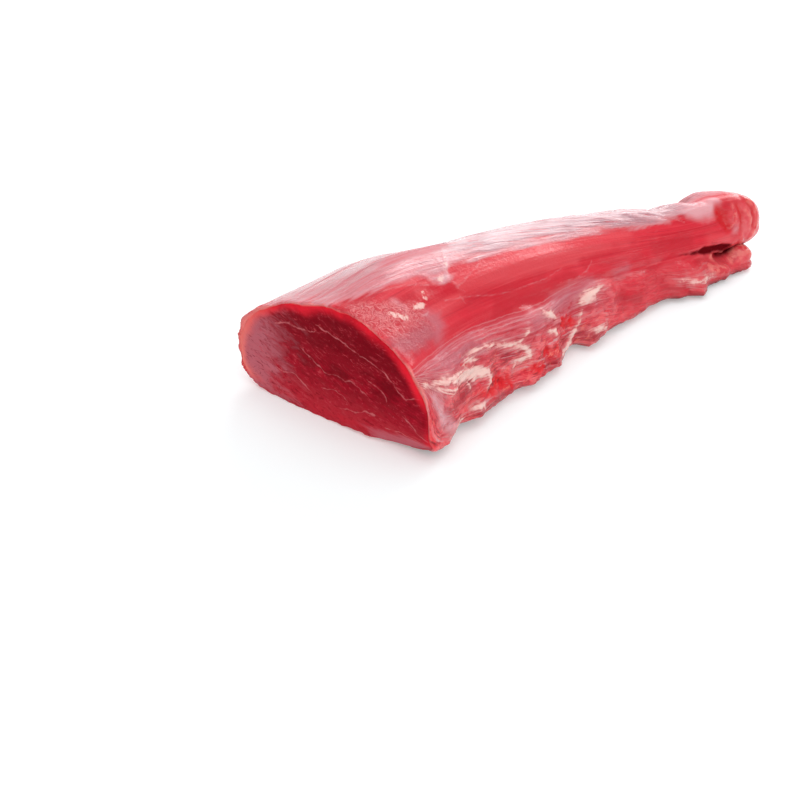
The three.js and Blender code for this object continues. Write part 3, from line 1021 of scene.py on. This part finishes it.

# %% [markdown]
# ## The red muscle
# The body of the meat is a clear red with darker bands between the bundles and fine pale and dark fibres
# along the grain. The bands and fibres are noises on the grain, long with it and short across. The drawn
# bright and dark stretches are partly the muscle's own unevenness and partly painted sheen and painted
# shade, which noise alone never puts in the right place.

# %% Upper muscle
RED = colour(0.70, 0.028, 0.048)
DEEP_RED = colour(0.54, 0.014, 0.028)
PALE_RED = colour(0.84, 0.12, 0.135)
CRIMSON = colour(0.42, 0.008, 0.024)
bands = beef.clouds(grain_place, (120, 9, 60), shift=3)
surface = beef.mix(beef.ramp(bands, 0.34, 0.66, 0.0, 0.85), RED, DEEP_RED)
surface = beef.paint(surface, PALE_RED, beef.ramp(fibres, 0.5, 0.75, 0.0, 0.25))
surface = beef.paint(surface, CRIMSON, beef.ramp(fibres, 0.44, 0.28, 0.0, 0.4))
surface = beef.paint(surface, DEEP_RED, beef.ramp(blotches, 0.5, 0.75, 0.0, 0.35))
# Painted sheen and painted shade, mixed with the muscle's own tone, from the drawn stretches.
surface = beef.paint(surface, PALE_RED, beef.ramp(tone_and_painted_light_field, 0.0, 1.0, 0.0, 0.35))
surface = beef.paint(surface, DEEP_RED, beef.ramp(tone_and_painted_light_field, 0.0, -1.0, 0.0, 0.7))
beef.tell("upper muscle")

# %% [markdown]
# ## The torn strap
# Torn meat is a patchwork: pale and crimson patches, bright raw meat and thin silvery and dark threads
# that fan out, with a painted highlight of salmon glints where a torn edge would catch the light. It is
# mixed on its own and then laid over the muscle by the strap's mask. Towards the tail it fades back into
# the plain muscle.

# %% Strap
BRIGHT_RED = colour(0.76, 0.010, 0.018)
DARK_RED = colour(0.24, 0.004, 0.012)
SILVER = colour(0.68, 0.36, 0.39)
PAINTED_GLINT_SALMON = colour(0.95, 0.24, 0.17)
patches = beef.clouds(fan_place, (11, 5, 8), detail=4, rough=0.62, warp=0.9, shift=17)
glints = beef.clouds(fan_place, (5, 1.6, 3), turned=35, rough=0.6, warp=0.8, shift=19)
strap_colour = beef.mix(beef.ramp(patches, 0.42, 0.58), RED, PALE_RED)
strap_colour = beef.paint(strap_colour, CRIMSON, beef.ramp(patches, 0.44, 0.34, 0.0, 0.85))
# Partly painted shade: the dark stretches low on the strap by the foot.
strap_colour = beef.paint(strap_colour, CRIMSON, beef.ramp(tone_and_painted_light_field, 0.0, -1.0, 0.0, 0.85))
strap_colour = beef.paint(strap_colour, BRIGHT_RED, raw_field, 0.85)
thread_share = beef.times(beef.ramp(fan_blots, 0.35, 0.6, 0.3, 1.0), beef.ramp(along_mm, 118, 150, 1.0, 0.55))
strap_colour = beef.paint(strap_colour, SILVER, beef.ramp(threads, 0.53, 0.66, 0.0, 0.7), thread_share)
strap_colour = beef.paint(strap_colour, DARK_RED, beef.ramp(threads, 0.46, 0.34, 0.0, 0.85), thread_share)
torn_share = beef.math("MAXIMUM", raw_field, beef.times(beef.field("torn"), 0.45))
# Painted highlight: salmon glints on the torn and raw places.
strap_colour = beef.paint(strap_colour, PAINTED_GLINT_SALMON, torn_share, beef.ramp(glints, 0.55, 0.7, 0.0, 0.85))
plain_from = beef.plus(along_mm, beef.times(blot_shift, 12))
strap_colour = beef.paint(strap_colour, surface, beef.ramp(plain_from, 150, 175, 0.0, 0.8))
surface = beef.paint(surface, strap_colour, strap_field)
beef.tell("strap")

# %% [markdown]
# ## Membranes
# A thin milky membrane hangs down from the strap's upper edge, striped where it is stretched. Grey-mauve
# veils lie lower down, and silverskin covers the crest, pink by the cut and greyer farther on. All are
# the same tissue at different thicknesses, so most of them share one silver, broken up by fibre noises.

# %% The membrane along the strap's edge, with its fine fibres
MEMBRANE = colour(0.60, 0.095, 0.12)
down = beef.plus(below_edge_mm, beef.times(blot_shift, 3.5))
ahead = beef.plus(along_mm, beef.times(blot_shift, 10))
membrane = beef.times(beef.ramp(below_edge_mm, -2.0, 1.0), beef.ramp(down, 9, 18, 1.0, 0.0))
membrane = beef.times(membrane, beef.ramp(ahead, 148, 168, 1.0, 0.0))
surface = beef.paint(surface, MEMBRANE, membrane, 0.85)
surface = beef.paint(surface, SILVER, membrane, beef.ramp(threads, 0.5, 0.7, 0.0, 0.5))
surface = beef.paint(surface, DEEP_RED, membrane, beef.ramp(threads, 0.48, 0.36, 0.0, 0.6))
stripe_wave = beef.math("SINE", beef.times(beef.plus(below_edge_mm, wobble), 3.4))
stripes = beef.times(beef.ramp(below_edge_mm, -2.6, -0.8), beef.ramp(below_edge_mm, 2.5, 6.0, 1.0, 0.0))
stripes = beef.times(stripes, beef.ramp(stripe_wave, 0.3, 0.95, 0.0, 0.3))
surface = beef.paint(surface, SILVER, stripes, beef.ramp(ahead, 120, 170, 1.0, 0.0))
beef.tell("membrane")

# %% Veils and silverskin
GREY_MAUVE = colour(0.52, 0.15, 0.185)
TOP_SKIN = colour(0.74, 0.25, 0.29)
TOP_FILM = colour(0.34, 0.24, 0.28)
TOP_EDGE = colour(0.70, 0.33, 0.36)
DUSK = colour(0.42, 0.12, 0.15)
LILAC = colour(0.82, 0.46, 0.50)
veil_inside = beef.plus(beef.field("veil"), beef.times(blot_shift, 2.5))
surface = beef.paint(surface, GREY_MAUVE, beef.ramp(veil_inside, -5.0, 4.5, 0.0, 0.8))
wrinkle = beef.clouds(grain_place, (46, 4.5, 30), turned=7, rough=0.55, warp=0.3, shift=2)
top_lines = beef.clouds(grain_place, (22, 1.7, 12), turned=11, rough=0.6, warp=0.7, shift=27)
film_colour = beef.mix(beef.ramp(silver_field, 0.45, 0.98), TOP_EDGE, TOP_FILM)
film_from = beef.plus(along_mm, beef.ramp(blotches, 0.3, 0.7, -25, 25, smooth=False))
top_colour = beef.mix(beef.ramp(film_from, 40, 105), TOP_SKIN, film_colour)
surface = beef.paint(surface, top_colour, beef.ramp(silver_field, 0.0, 0.6, 0.0, 0.78))
surface = beef.paint(surface, SILVER, silver_field, beef.ramp(top_lines, 0.53, 0.63, 0.0, 0.6))
surface = beef.paint(surface, MEMBRANE, silver_field, beef.ramp(top_lines, 0.47, 0.37, 0.0, 0.7))
surface = beef.paint(surface, DUSK, silver_field, beef.ramp(wrinkle, 0.42, 0.3, 0.0, 0.55))
surface = beef.paint(surface, SILVER, silver_field, beef.ramp(wrinkle, 0.42, 0.68, 0.0, 0.5))
surface = beef.paint(surface, SILVER, beef.ramp(beef.field("wrinkles"), -2.6, 1.2, 0.0, 0.55))
surface = beef.paint(surface, LILAC, beef.ramp(beef.field("film"), -3.0, 3.0, 0.0, 0.75))
beef.tell("silverskin")

# %% [markdown]
# ## The dull front
# Behind the cut's rim the surface has dried, and a fine net of pink worm-like curls lies on a duller red.
# A noise is near its middle value along such curls, so the distance from that value draws them.

# %% Front
FRONT_RED = colour(0.56, 0.06, 0.075)
CURL_PINK = colour(0.88, 0.34, 0.34)
front_edge = beef.ramp(beef.plus(front_field, beef.times(blot_shift, 0.3)), 0.1, 0.9)
surface = beef.paint(surface, FRONT_RED, front_edge, 0.8)
curls = beef.clouds(place, even(0.0027), rough=0.6, warp=1.0, shift=23)
curl_gap = beef.math("ABSOLUTE", beef.minus(curls, 0.5))
curl_share = beef.times(front_edge, beef.ramp(curl_gap, 0.0, 0.07, 0.42, 0.0))
surface = beef.paint(surface, CURL_PINK, curl_share, beef.ramp(blotches, 0.36, 0.56, 0.3, 1.0))
surface = beef.paint(surface, DEEP_RED, front_edge, beef.ramp(curl_gap, 0.09, 0.18, 0.0, 0.5))
low_front_mask = beef.ramp(beef.field("low_front"), -4.0, 3.0)
surface = beef.paint(surface, DUSK, low_front_mask, 0.65)
beef.tell("front")

# %% [markdown]
# ## Thin lines
# Sinews are thinner than the mesh's squares, so a mask kept on the points would blur them. The signed
# distance to the line changes evenly across it, and that survives: the shader compares it with the line's
# half width and draws the line as thin as it is.

# %% Lines of sinew
off_line = beef.math("ABSOLUTE", beef.plus(beef.field("line_side"), beef.times(wobble, 0.5)))
line_inside_field = beef.field("line_inside")
half_width = beef.plus(line_inside_field, beef.math("ABSOLUTE", beef.field("line_side")))
line_mask = beef.ramp(beef.minus(off_line, half_width), -0.35, 0.45, 1.0, 0.0)
line_mask = beef.times(line_mask, beef.ramp(half_width, 0.15, 0.9, 0.25, 0.7))
line_mask = beef.times(line_mask, beef.ramp(line_inside_field, -2.2, -1.2))
surface = beef.paint(surface, SILVER, line_mask, beef.ramp(ragged, 0.3, 0.6, 0.4, 1.0))
beef.tell("lines")

# %% [markdown]
# ## Hollows, foot and fat
# Shade is painted into the hollows and along the foot, which is in its own shade, so both are darker, and
# a painted highlight makes the ridges a little paler. The fat lies over all these: cream where it is
# thick, pink where it thins out, with a pinkish halo round it. The strap's threads tear its edge, so that
# it doesn't look like spilt paint.

# %% Painted shade in the hollows and at the foot
BLACK_RED = colour(0.13, 0.001, 0.004)
sunken_field = beef.field("sunken")
hollow_field = beef.field("hollow")
foot_shade_field = beef.field("foot")
# Painted shade in sunken places and a painted highlight on the ridges, from the measured hollowness.
surface = beef.paint(surface, DEEP_RED, beef.ramp(sunken_field, 0.01, 0.18, 0.0, 0.65))
surface = beef.paint(surface, DARK_RED, beef.ramp(sunken_field, 0.12, 0.4, 0.0, 0.75))
surface = beef.paint(surface, PALE_RED, beef.ramp(sunken_field, -0.05, -0.3, 0.0, 0.3))
surface = beef.paint(surface, BRIGHT_RED, beef.ramp(hollow_field, -1.4, 0.6, 0.0, 0.9))
# Painted shade in the deep middle of each hollow, round the bright raw meat.
surface = beef.paint(surface, DARK_RED, beef.ramp(hollow_field, 0.8, 2.4, 0.0, 0.8))
# Painted shade along the foot, darkest right at the table.
foot_shade_blots = beef.ramp(fan_blots, 0.38, 0.56, 0.3, 1.0)
surface = beef.paint(surface, DARK_RED, beef.ramp(foot_shade_field, 0.2, 0.9), foot_shade_blots)
under_shade_blots = beef.ramp(fan_blots, 0.4, 0.5, 0.4, 1.0)
surface = beef.paint(surface, BLACK_RED, beef.ramp(foot_shade_field, 0.66, 0.92, 0.0, 0.9), under_shade_blots)
beef.tell("hollows and foot")

# %% Fat
PINK_FAT = colour(0.84, 0.38, 0.36)
CREAM = colour(0.92, 0.62, 0.56)
HALO = colour(0.66, 0.27, 0.28)
speckle = beef.clouds(place, even(0.0015), rough=0.7)
fat_torn = beef.ramp(threads, 0.3, 0.7, -1.1, 1.5, smooth=False)
fat_inside = beef.plus(beef.field("fat"), beef.plus(fat_torn, wobble))
fat_mask = beef.ramp(fat_inside, -0.6, 0.9)
fat_colour = beef.mix(beef.ramp(fat_inside, 0.2, 1.8), PINK_FAT, CREAM)
halo = beef.ramp(fat_inside, -3.2, -0.4, 0.0, 0.42)
surface = beef.paint(surface, HALO, halo, beef.ramp(threads, 0.4, 0.6, 0.3, 1.0))
surface = beef.paint(surface, fat_colour, fat_mask, 0.92)
# Painted highlight: the small glints on the front, in the fat's cream.
glint_spot_fray = beef.ramp(speckle, 0.25, 0.75, -1.1, 1.1, smooth=False)
glint_spot_inside = beef.plus(beef.field("painted_glint_spots"), glint_spot_fray)
surface = beef.paint(surface, CREAM, beef.ramp(glint_spot_inside, -0.9, 0.7, 0.0, 0.8))
beef.tell("fat")

# %% [markdown]
# ## The fold's colours
# The rolled end is mottled in pinks, with red in its dimples and salmon on its ridges, partly their own
# paler colour and partly a painted highlight. The slit below it is nearly black, since no light reaches
# its end.

# %% Tail, ridges, dimples and slit
FOLD_PINK = colour(0.78, 0.16, 0.17)
FOLD_RED = colour(0.60, 0.010, 0.016)
TAIL_SALMON_HIGHLIGHT = colour(0.86, 0.26, 0.22)
mottles = beef.clouds(place, (0.007, 0.007, 0.014), warp=0.6, shift=15)
tail_colour = beef.mix(beef.ramp(mottles, 0.36, 0.62, 0.1, 0.6), RED, FOLD_PINK)
tail_colour = beef.paint(tail_colour, CRIMSON, beef.ramp(mottles, 0.44, 0.3, 0.0, 0.5))
surface = beef.paint(surface, tail_colour, beef.field("tail"), 0.9)
surface = beef.paint(surface, FOLD_RED, beef.ramp(beef.field("dimple"), -2.6, 1.5, 0.0, 0.9))
# Partly a painted highlight: salmon on the ridges of the fold and the flap.
ridge_highlight = beef.ramp(beef.field("ridge"), -1.4, 1.2, 0.0, 0.6)
surface = beef.paint(surface, TAIL_SALMON_HIGHLIGHT, ridge_highlight, beef.ramp(ragged, 0.38, 0.6))
slit_mask = beef.ramp(beef.field("slit"), -0.8, 0.8, 0.0, 1.0)
surface = beef.paint(surface, BLACK_RED, slit_mask)
beef.tell("fold")

# %% [markdown]
# ## The cut face
# Fresh from the knife the inside is a deep wine red. Painted shade makes it darkest high up, painted light
# bounced from the table makes it redder low down and paler grey along the near foot, and a painted sheen
# makes it greyer towards the far side. Muscle cut across its fibres shows as short pale and dark flecks.
# The fat's seams are drawn as the sinews are, and noises bend them and break them up, since real ones are
# never even.

# %% Cut face
CUT_RED = colour(0.42, 0.006, 0.021)
CUT_DARK = colour(0.20, 0.0006, 0.007)
CUT_BOUNCE_RED = colour(0.68, 0.034, 0.055)
CUT_GREY = colour(0.58, 0.15, 0.19)
CUT_PALE = colour(0.58, 0.06, 0.08)
cut_place = beef.field("cut_place", "Vector")
cut_axes = beef.add("ShaderNodeSeparateXYZ", {"Vector": cut_place}).outputs
cut_across, cut_up = cut_axes["X"], cut_axes["Y"]
mottled = beef.clouds(cut_place, (16, 5, 9), turned=14, detail=5, rough=0.62, warp=0.4)
cut_fine = beef.clouds(cut_place, (4.2, 1.5, 3), turned=15, detail=5, rough=0.72, warp=1.1, shift=4)
cut_dots = beef.clouds(cut_place, (1.3, 1.0, 2), detail=1, shift=9)
blot = beef.ramp(mottled, 0.3, 0.7, -1, 1, smooth=False)
height_up = beef.plus(cut_up, beef.times(blot, 8))
to_near = beef.plus(cut_across, beef.times(blot, 16))
cut_colour = beef.mix(beef.ramp(mottled, 0.35, 0.65), CUT_DARK, CUT_RED)
# Painted shade: darker high up on the cut.
cut_colour = beef.paint(cut_colour, CUT_DARK, beef.ramp(height_up, 26, 46, 0.0, 0.8))
# Painted light bounced from the table: redder low down.
cut_colour = beef.paint(cut_colour, CUT_BOUNCE_RED, beef.ramp(height_up, 26, 2, 0.0, 0.65))
# Painted sheen: greyer towards the far side.
cut_colour = beef.paint(cut_colour, CUT_GREY, beef.ramp(to_near, -18, -50, 0.0, 0.85))
pale_flecks = beef.ramp(cut_fine, 0.53, 0.66, 0.0, 0.75)
cut_colour = beef.paint(cut_colour, CUT_PALE, pale_flecks, beef.ramp(mottled, 0.4, 0.6, 0.3, 1.0))
cut_colour = beef.paint(cut_colour, CUT_DARK, beef.ramp(cut_fine, 0.47, 0.35, 0.0, 0.6))
cut_colour = beef.paint(cut_colour, MEMBRANE, beef.ramp(cut_dots, 0.72, 0.8, 0.0, 0.6))
# Painted light from the table: a paler grey strip along the near foot.
low_strip = beef.ramp(beef.plus(cut_up, beef.times(blot, 2)), 8, 4, 0.0, 0.85)
cut_colour = beef.paint(cut_colour, CUT_GREY, low_strip, beef.ramp(to_near, 8, 34))
beef.tell("cut face")

# %% Seams of fat in the cut's colour
CUT_SEAM = colour(0.62, 0.14, 0.155)
seam_wave = beef.clouds(cut_place, even(6), shift=6)
seam_break = beef.clouds(cut_place, even(4), shift=12)
seam_bend = beef.ramp(seam_wave, 0.2, 0.8, -1.3, 1.3, smooth=False)
off_seam = beef.math("ABSOLUTE", beef.plus(beef.field("seam_side"), seam_bend))
seam_half = beef.ramp(seam_break, 0.34, 0.7, -0.2, 0.45, smooth=False)
seam_mask = beef.ramp(beef.minus(off_seam, seam_half), -0.35, 0.5, 0.9, 0.0)
cut_colour = beef.paint(cut_colour, CUT_SEAM, seam_mask, beef.ramp(beef.field("seam_inside"), -3.0, -2.0))
beef.tell("seams")

# %% [markdown]
# ## The glowing rim
# Light that goes in through the skin comes out at the cut's rim, so a bright red band runs round it,
# widest and most orange at the far side and thin at the lower near corner. More subsurface scattering
# would show it too, but it would blur the fibres, so the band is painted by the distance to the rim.

# %% Rim of the cut
RIM_RED = colour(0.84, 0.018, 0.038)
RIM_GLOW = colour(0.94, 0.20, 0.18)
RIM_HIGHLIGHT = colour(0.97, 0.30, 0.28)
cut_field = beef.field("cut")
edge_gap_field = beef.field("edge_gap")
rim_wave = beef.clouds(place, even(0.016), detail=2, shift=7)
rim_in = beef.plus(edge_gap_field, beef.ramp(rim_wave, 0.3, 0.7, -1.4, 1.4, smooth=False))
rim_in = beef.minus(rim_in, beef.ramp(cut_across, -35, -62, 0.0, 1.5))
rim_in = beef.plus(rim_in, beef.times(blot, 0.8))
low_near = beef.times(beef.ramp(cut_up, 34, 20, 0.0, 2.2), beef.ramp(cut_across, 20, 45))
rim_in = beef.plus(rim_in, low_near)
rim_colour = beef.mix(beef.ramp(cut_across, -30, -60), RIM_RED, RIM_GLOW)
rim_band = beef.ramp(rim_in, 1.4, 7.2, 1.0, 0.0)
cut_colour = beef.paint(cut_colour, rim_colour, rim_band, beef.ramp(cut_up, 2, 9))
surface = beef.paint(surface, cut_colour, beef.ramp(cut_field, 0.35, 0.65))
# Painted highlight: a thin pale line along the very edge of the rim, where it rounds over.
edge_gap = beef.plus(edge_gap_field, beef.ramp(rim_wave, 0.3, 0.7, -0.6, 0.6, smooth=False))
edge_highlight = beef.ramp(edge_gap, 0.6, 1.8, 0.7, 0.0)
surface = beef.paint(surface, RIM_HIGHLIGHT, edge_highlight, beef.ramp(cut_up, 4, 36, 0.0, 1.0))
beef.tell("rim")

# %% [markdown]
# ## Bump and wet shine
# Fibres finer than the mesh are a bump, made of the same noises as the colours, so that each dark fibre
# is also a groove. The juice is a coat. It is thinner in patches, nearly gone on the cut, where it soaks
# in, and weak on the dull front, the membrane and the bare stretches.

# %% Bump
wet = beef.clouds(place, even(0.0019), rough=0.6, shift=1)
heights = beef.plus(beef.times(fibres, 0.3), beef.times(wet, 0.35))
bumpy_zones = (
    (threads, strap_field, 2.6), (wrinkle, silver_field, 0.9), (curls, front_field, 1.2),
    (top_lines, silver_field, 0.8),
)
for pattern, zone, strength in bumpy_zones:
    heights = beef.plus(heights, beef.times(pattern, beef.times(zone, strength)))
heights = beef.times(heights, beef.ramp(cut_field, 0.3, 0.7, 1.0, 0.0))
heights = beef.plus(heights, beef.times(cut_fine, 0.2))
heights = beef.plus(heights, beef.times(fat_mask, 0.3))
bump = beef.add("ShaderNodeBump", {"Strength": 0.7, "Distance": 0.6 * MM, "Height": heights})
beef.tell("bump")

# %% Coat of juice
juice = beef.clouds(place, even(0.014), shift=11)
coat = beef.times(beef.ramp(juice, 0.3, 0.6, 0.55, 1.0), beef.ramp(cut_field, 0.3, 0.7, 1.0, 0.03))
coat = beef.times(coat, beef.ramp(edge_gap_field, 3, 14, 0.5, 1.0))
dull_zones = (
    (slit_mask, 1.0), (beef.field("bare"), 0.92), (membrane, 0.6), (front_edge, 0.3), (low_front_mask, 0.5),
)
for zone, dullness in dull_zones:
    coat = beef.times(coat, beef.minus(1.0, beef.times(zone, dullness)))
beef.tell("coat")

# %% Shader
principled = beef.add("ShaderNodeBsdfPrincipled", {
    "Base Color": surface, "Roughness": beef.ramp(wet, 0.3, 0.7, 0.42, 0.6, smooth=False),
    "Normal": bump.outputs["Normal"], "Coat Normal": bump.outputs["Normal"], "IOR": 1.4,
    "Specular IOR Level": 0.03, "Subsurface Weight": 0.15, "Subsurface Scale": 2.2 * MM,
    "Subsurface Radius": (1.0, 0.22, 0.16), "Coat Weight": coat, "Coat Roughness": 0.14, "Coat IOR": 1.42,
})
beef.add("ShaderNodeOutputMaterial", {"Surface": principled.outputs["BSDF"]})
flesh.data.materials.clear()
flesh.data.materials.append(beef_material)
flesh.data.polygons.foreach_set("use_smooth", [True] * len(flesh.data.polygons))

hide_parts("beef_tenderloin")
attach(flesh, "root")
beef.tell("shader")

# %% [markdown]
# ## Floor and light
# The meat lies on a plain white table under soft light, so the shadows are pale and close to it. A wide
# lamp behind gives the broad shine along the top, and a weaker one in front lights the side that is seen.
# The room is bright overhead and dim lower down, so that steep sides keep their deep red. The table is
# lit from below, as a light table is, and more so away from the meat, which keeps it white far out.
# Past its edge the camera sees plain white.

# %% Lay the floor
FLOOR_SIZE = 6.0
NEAR_GLOW = 0.30  # how brightly the table is lit from below around the meat
FAR_GLOW = 0.9
GLOW_FROM, GLOW_TO = 0.35, 0.9  # metres from the meat over which the glow grows


def grey(value):
    return colour(value, value, value)


bm = bmesh.new()
bmesh.ops.create_grid(bm, x_segments=1, y_segments=1, size=FLOOR_SIZE / 2)
floor = new_piece("floor", bm)
table_material, table = new_material("white table")
table_place = table.add("ShaderNodeTexCoord").outputs["Object"]
away = table.add("ShaderNodeVectorMath", {0: table_place}, operation="LENGTH").outputs["Value"]
glow = table.mix(table.ramp(away, GLOW_FROM, GLOW_TO), grey(NEAR_GLOW), grey(FAR_GLOW))
table_shader = table.add("ShaderNodeBsdfPrincipled", {
    "Base Color": colour(0.70, 0.745, 0.755), "Roughness": 0.6, "Emission Color": glow,
    "Emission Strength": 1.0,
})
table.add("ShaderNodeOutputMaterial", {"Surface": table_shader.outputs["BSDF"]})
floor.data.materials.append(table_material)
print("floor", FLOOR_SIZE, "m wide")

# %% Light the room
HORIZON_LIGHT = 0.35
ZENITH_LIGHT = 1.5
DIM_UP_TO = 0.5  # sine of the elevation up to which the room stays dim
world = bpy.data.worlds.new("white room")
bpy.context.scene.world = world
world.use_nodes = True
room = Nodes(world.node_tree)
upward = room.add("ShaderNodeTexCoord").outputs["Generated"]
sky_axes = room.add("ShaderNodeSeparateXYZ", {"Vector": upward})
sky = room.ramp(sky_axes.outputs["Z"], DIM_UP_TO, 1, HORIZON_LIGHT, ZENITH_LIGHT)
seen = room.add("ShaderNodeLightPath").outputs["Is Camera Ray"]
shown = room.math("MAXIMUM", sky, seen)
background = room.add("ShaderNodeBackground", {"Color": grey(1), "Strength": shown})
room.add("ShaderNodeOutputWorld", {"Surface": background.outputs["Background"]})
room.tell("room")


# %% Set the lamps
def softbox(name, azimuth, elevation, distance, width, height, brightness):
    """A lamp that looks at the meat. Brightness is its radiance, where 1 is a white surface's."""
    data = bpy.data.lights.new(name, "AREA")
    data.shape = "RECTANGLE"
    data.size, data.size_y = width, height
    data.energy = brightness * math.pi * width * height
    lamp = bpy.data.objects.new(name, data)
    bpy.context.scene.collection.objects.link(lamp)
    way = direction(azimuth, elevation)
    lamp.location = Vector((0, 0, 0.03)) + way * distance
    lamp.rotation_euler = way.to_track_quat("Z", "Y").to_euler()
    print(name, "at", lamp.location)


softbox("back softbox", 122, 22, 1.3, 1.1, 0.74, 4.15)
softbox("front softbox", -8, 34, 1.4, 1.1, 1.0, 1.8)
bpy.context.scene.view_settings.view_transform = "Standard"
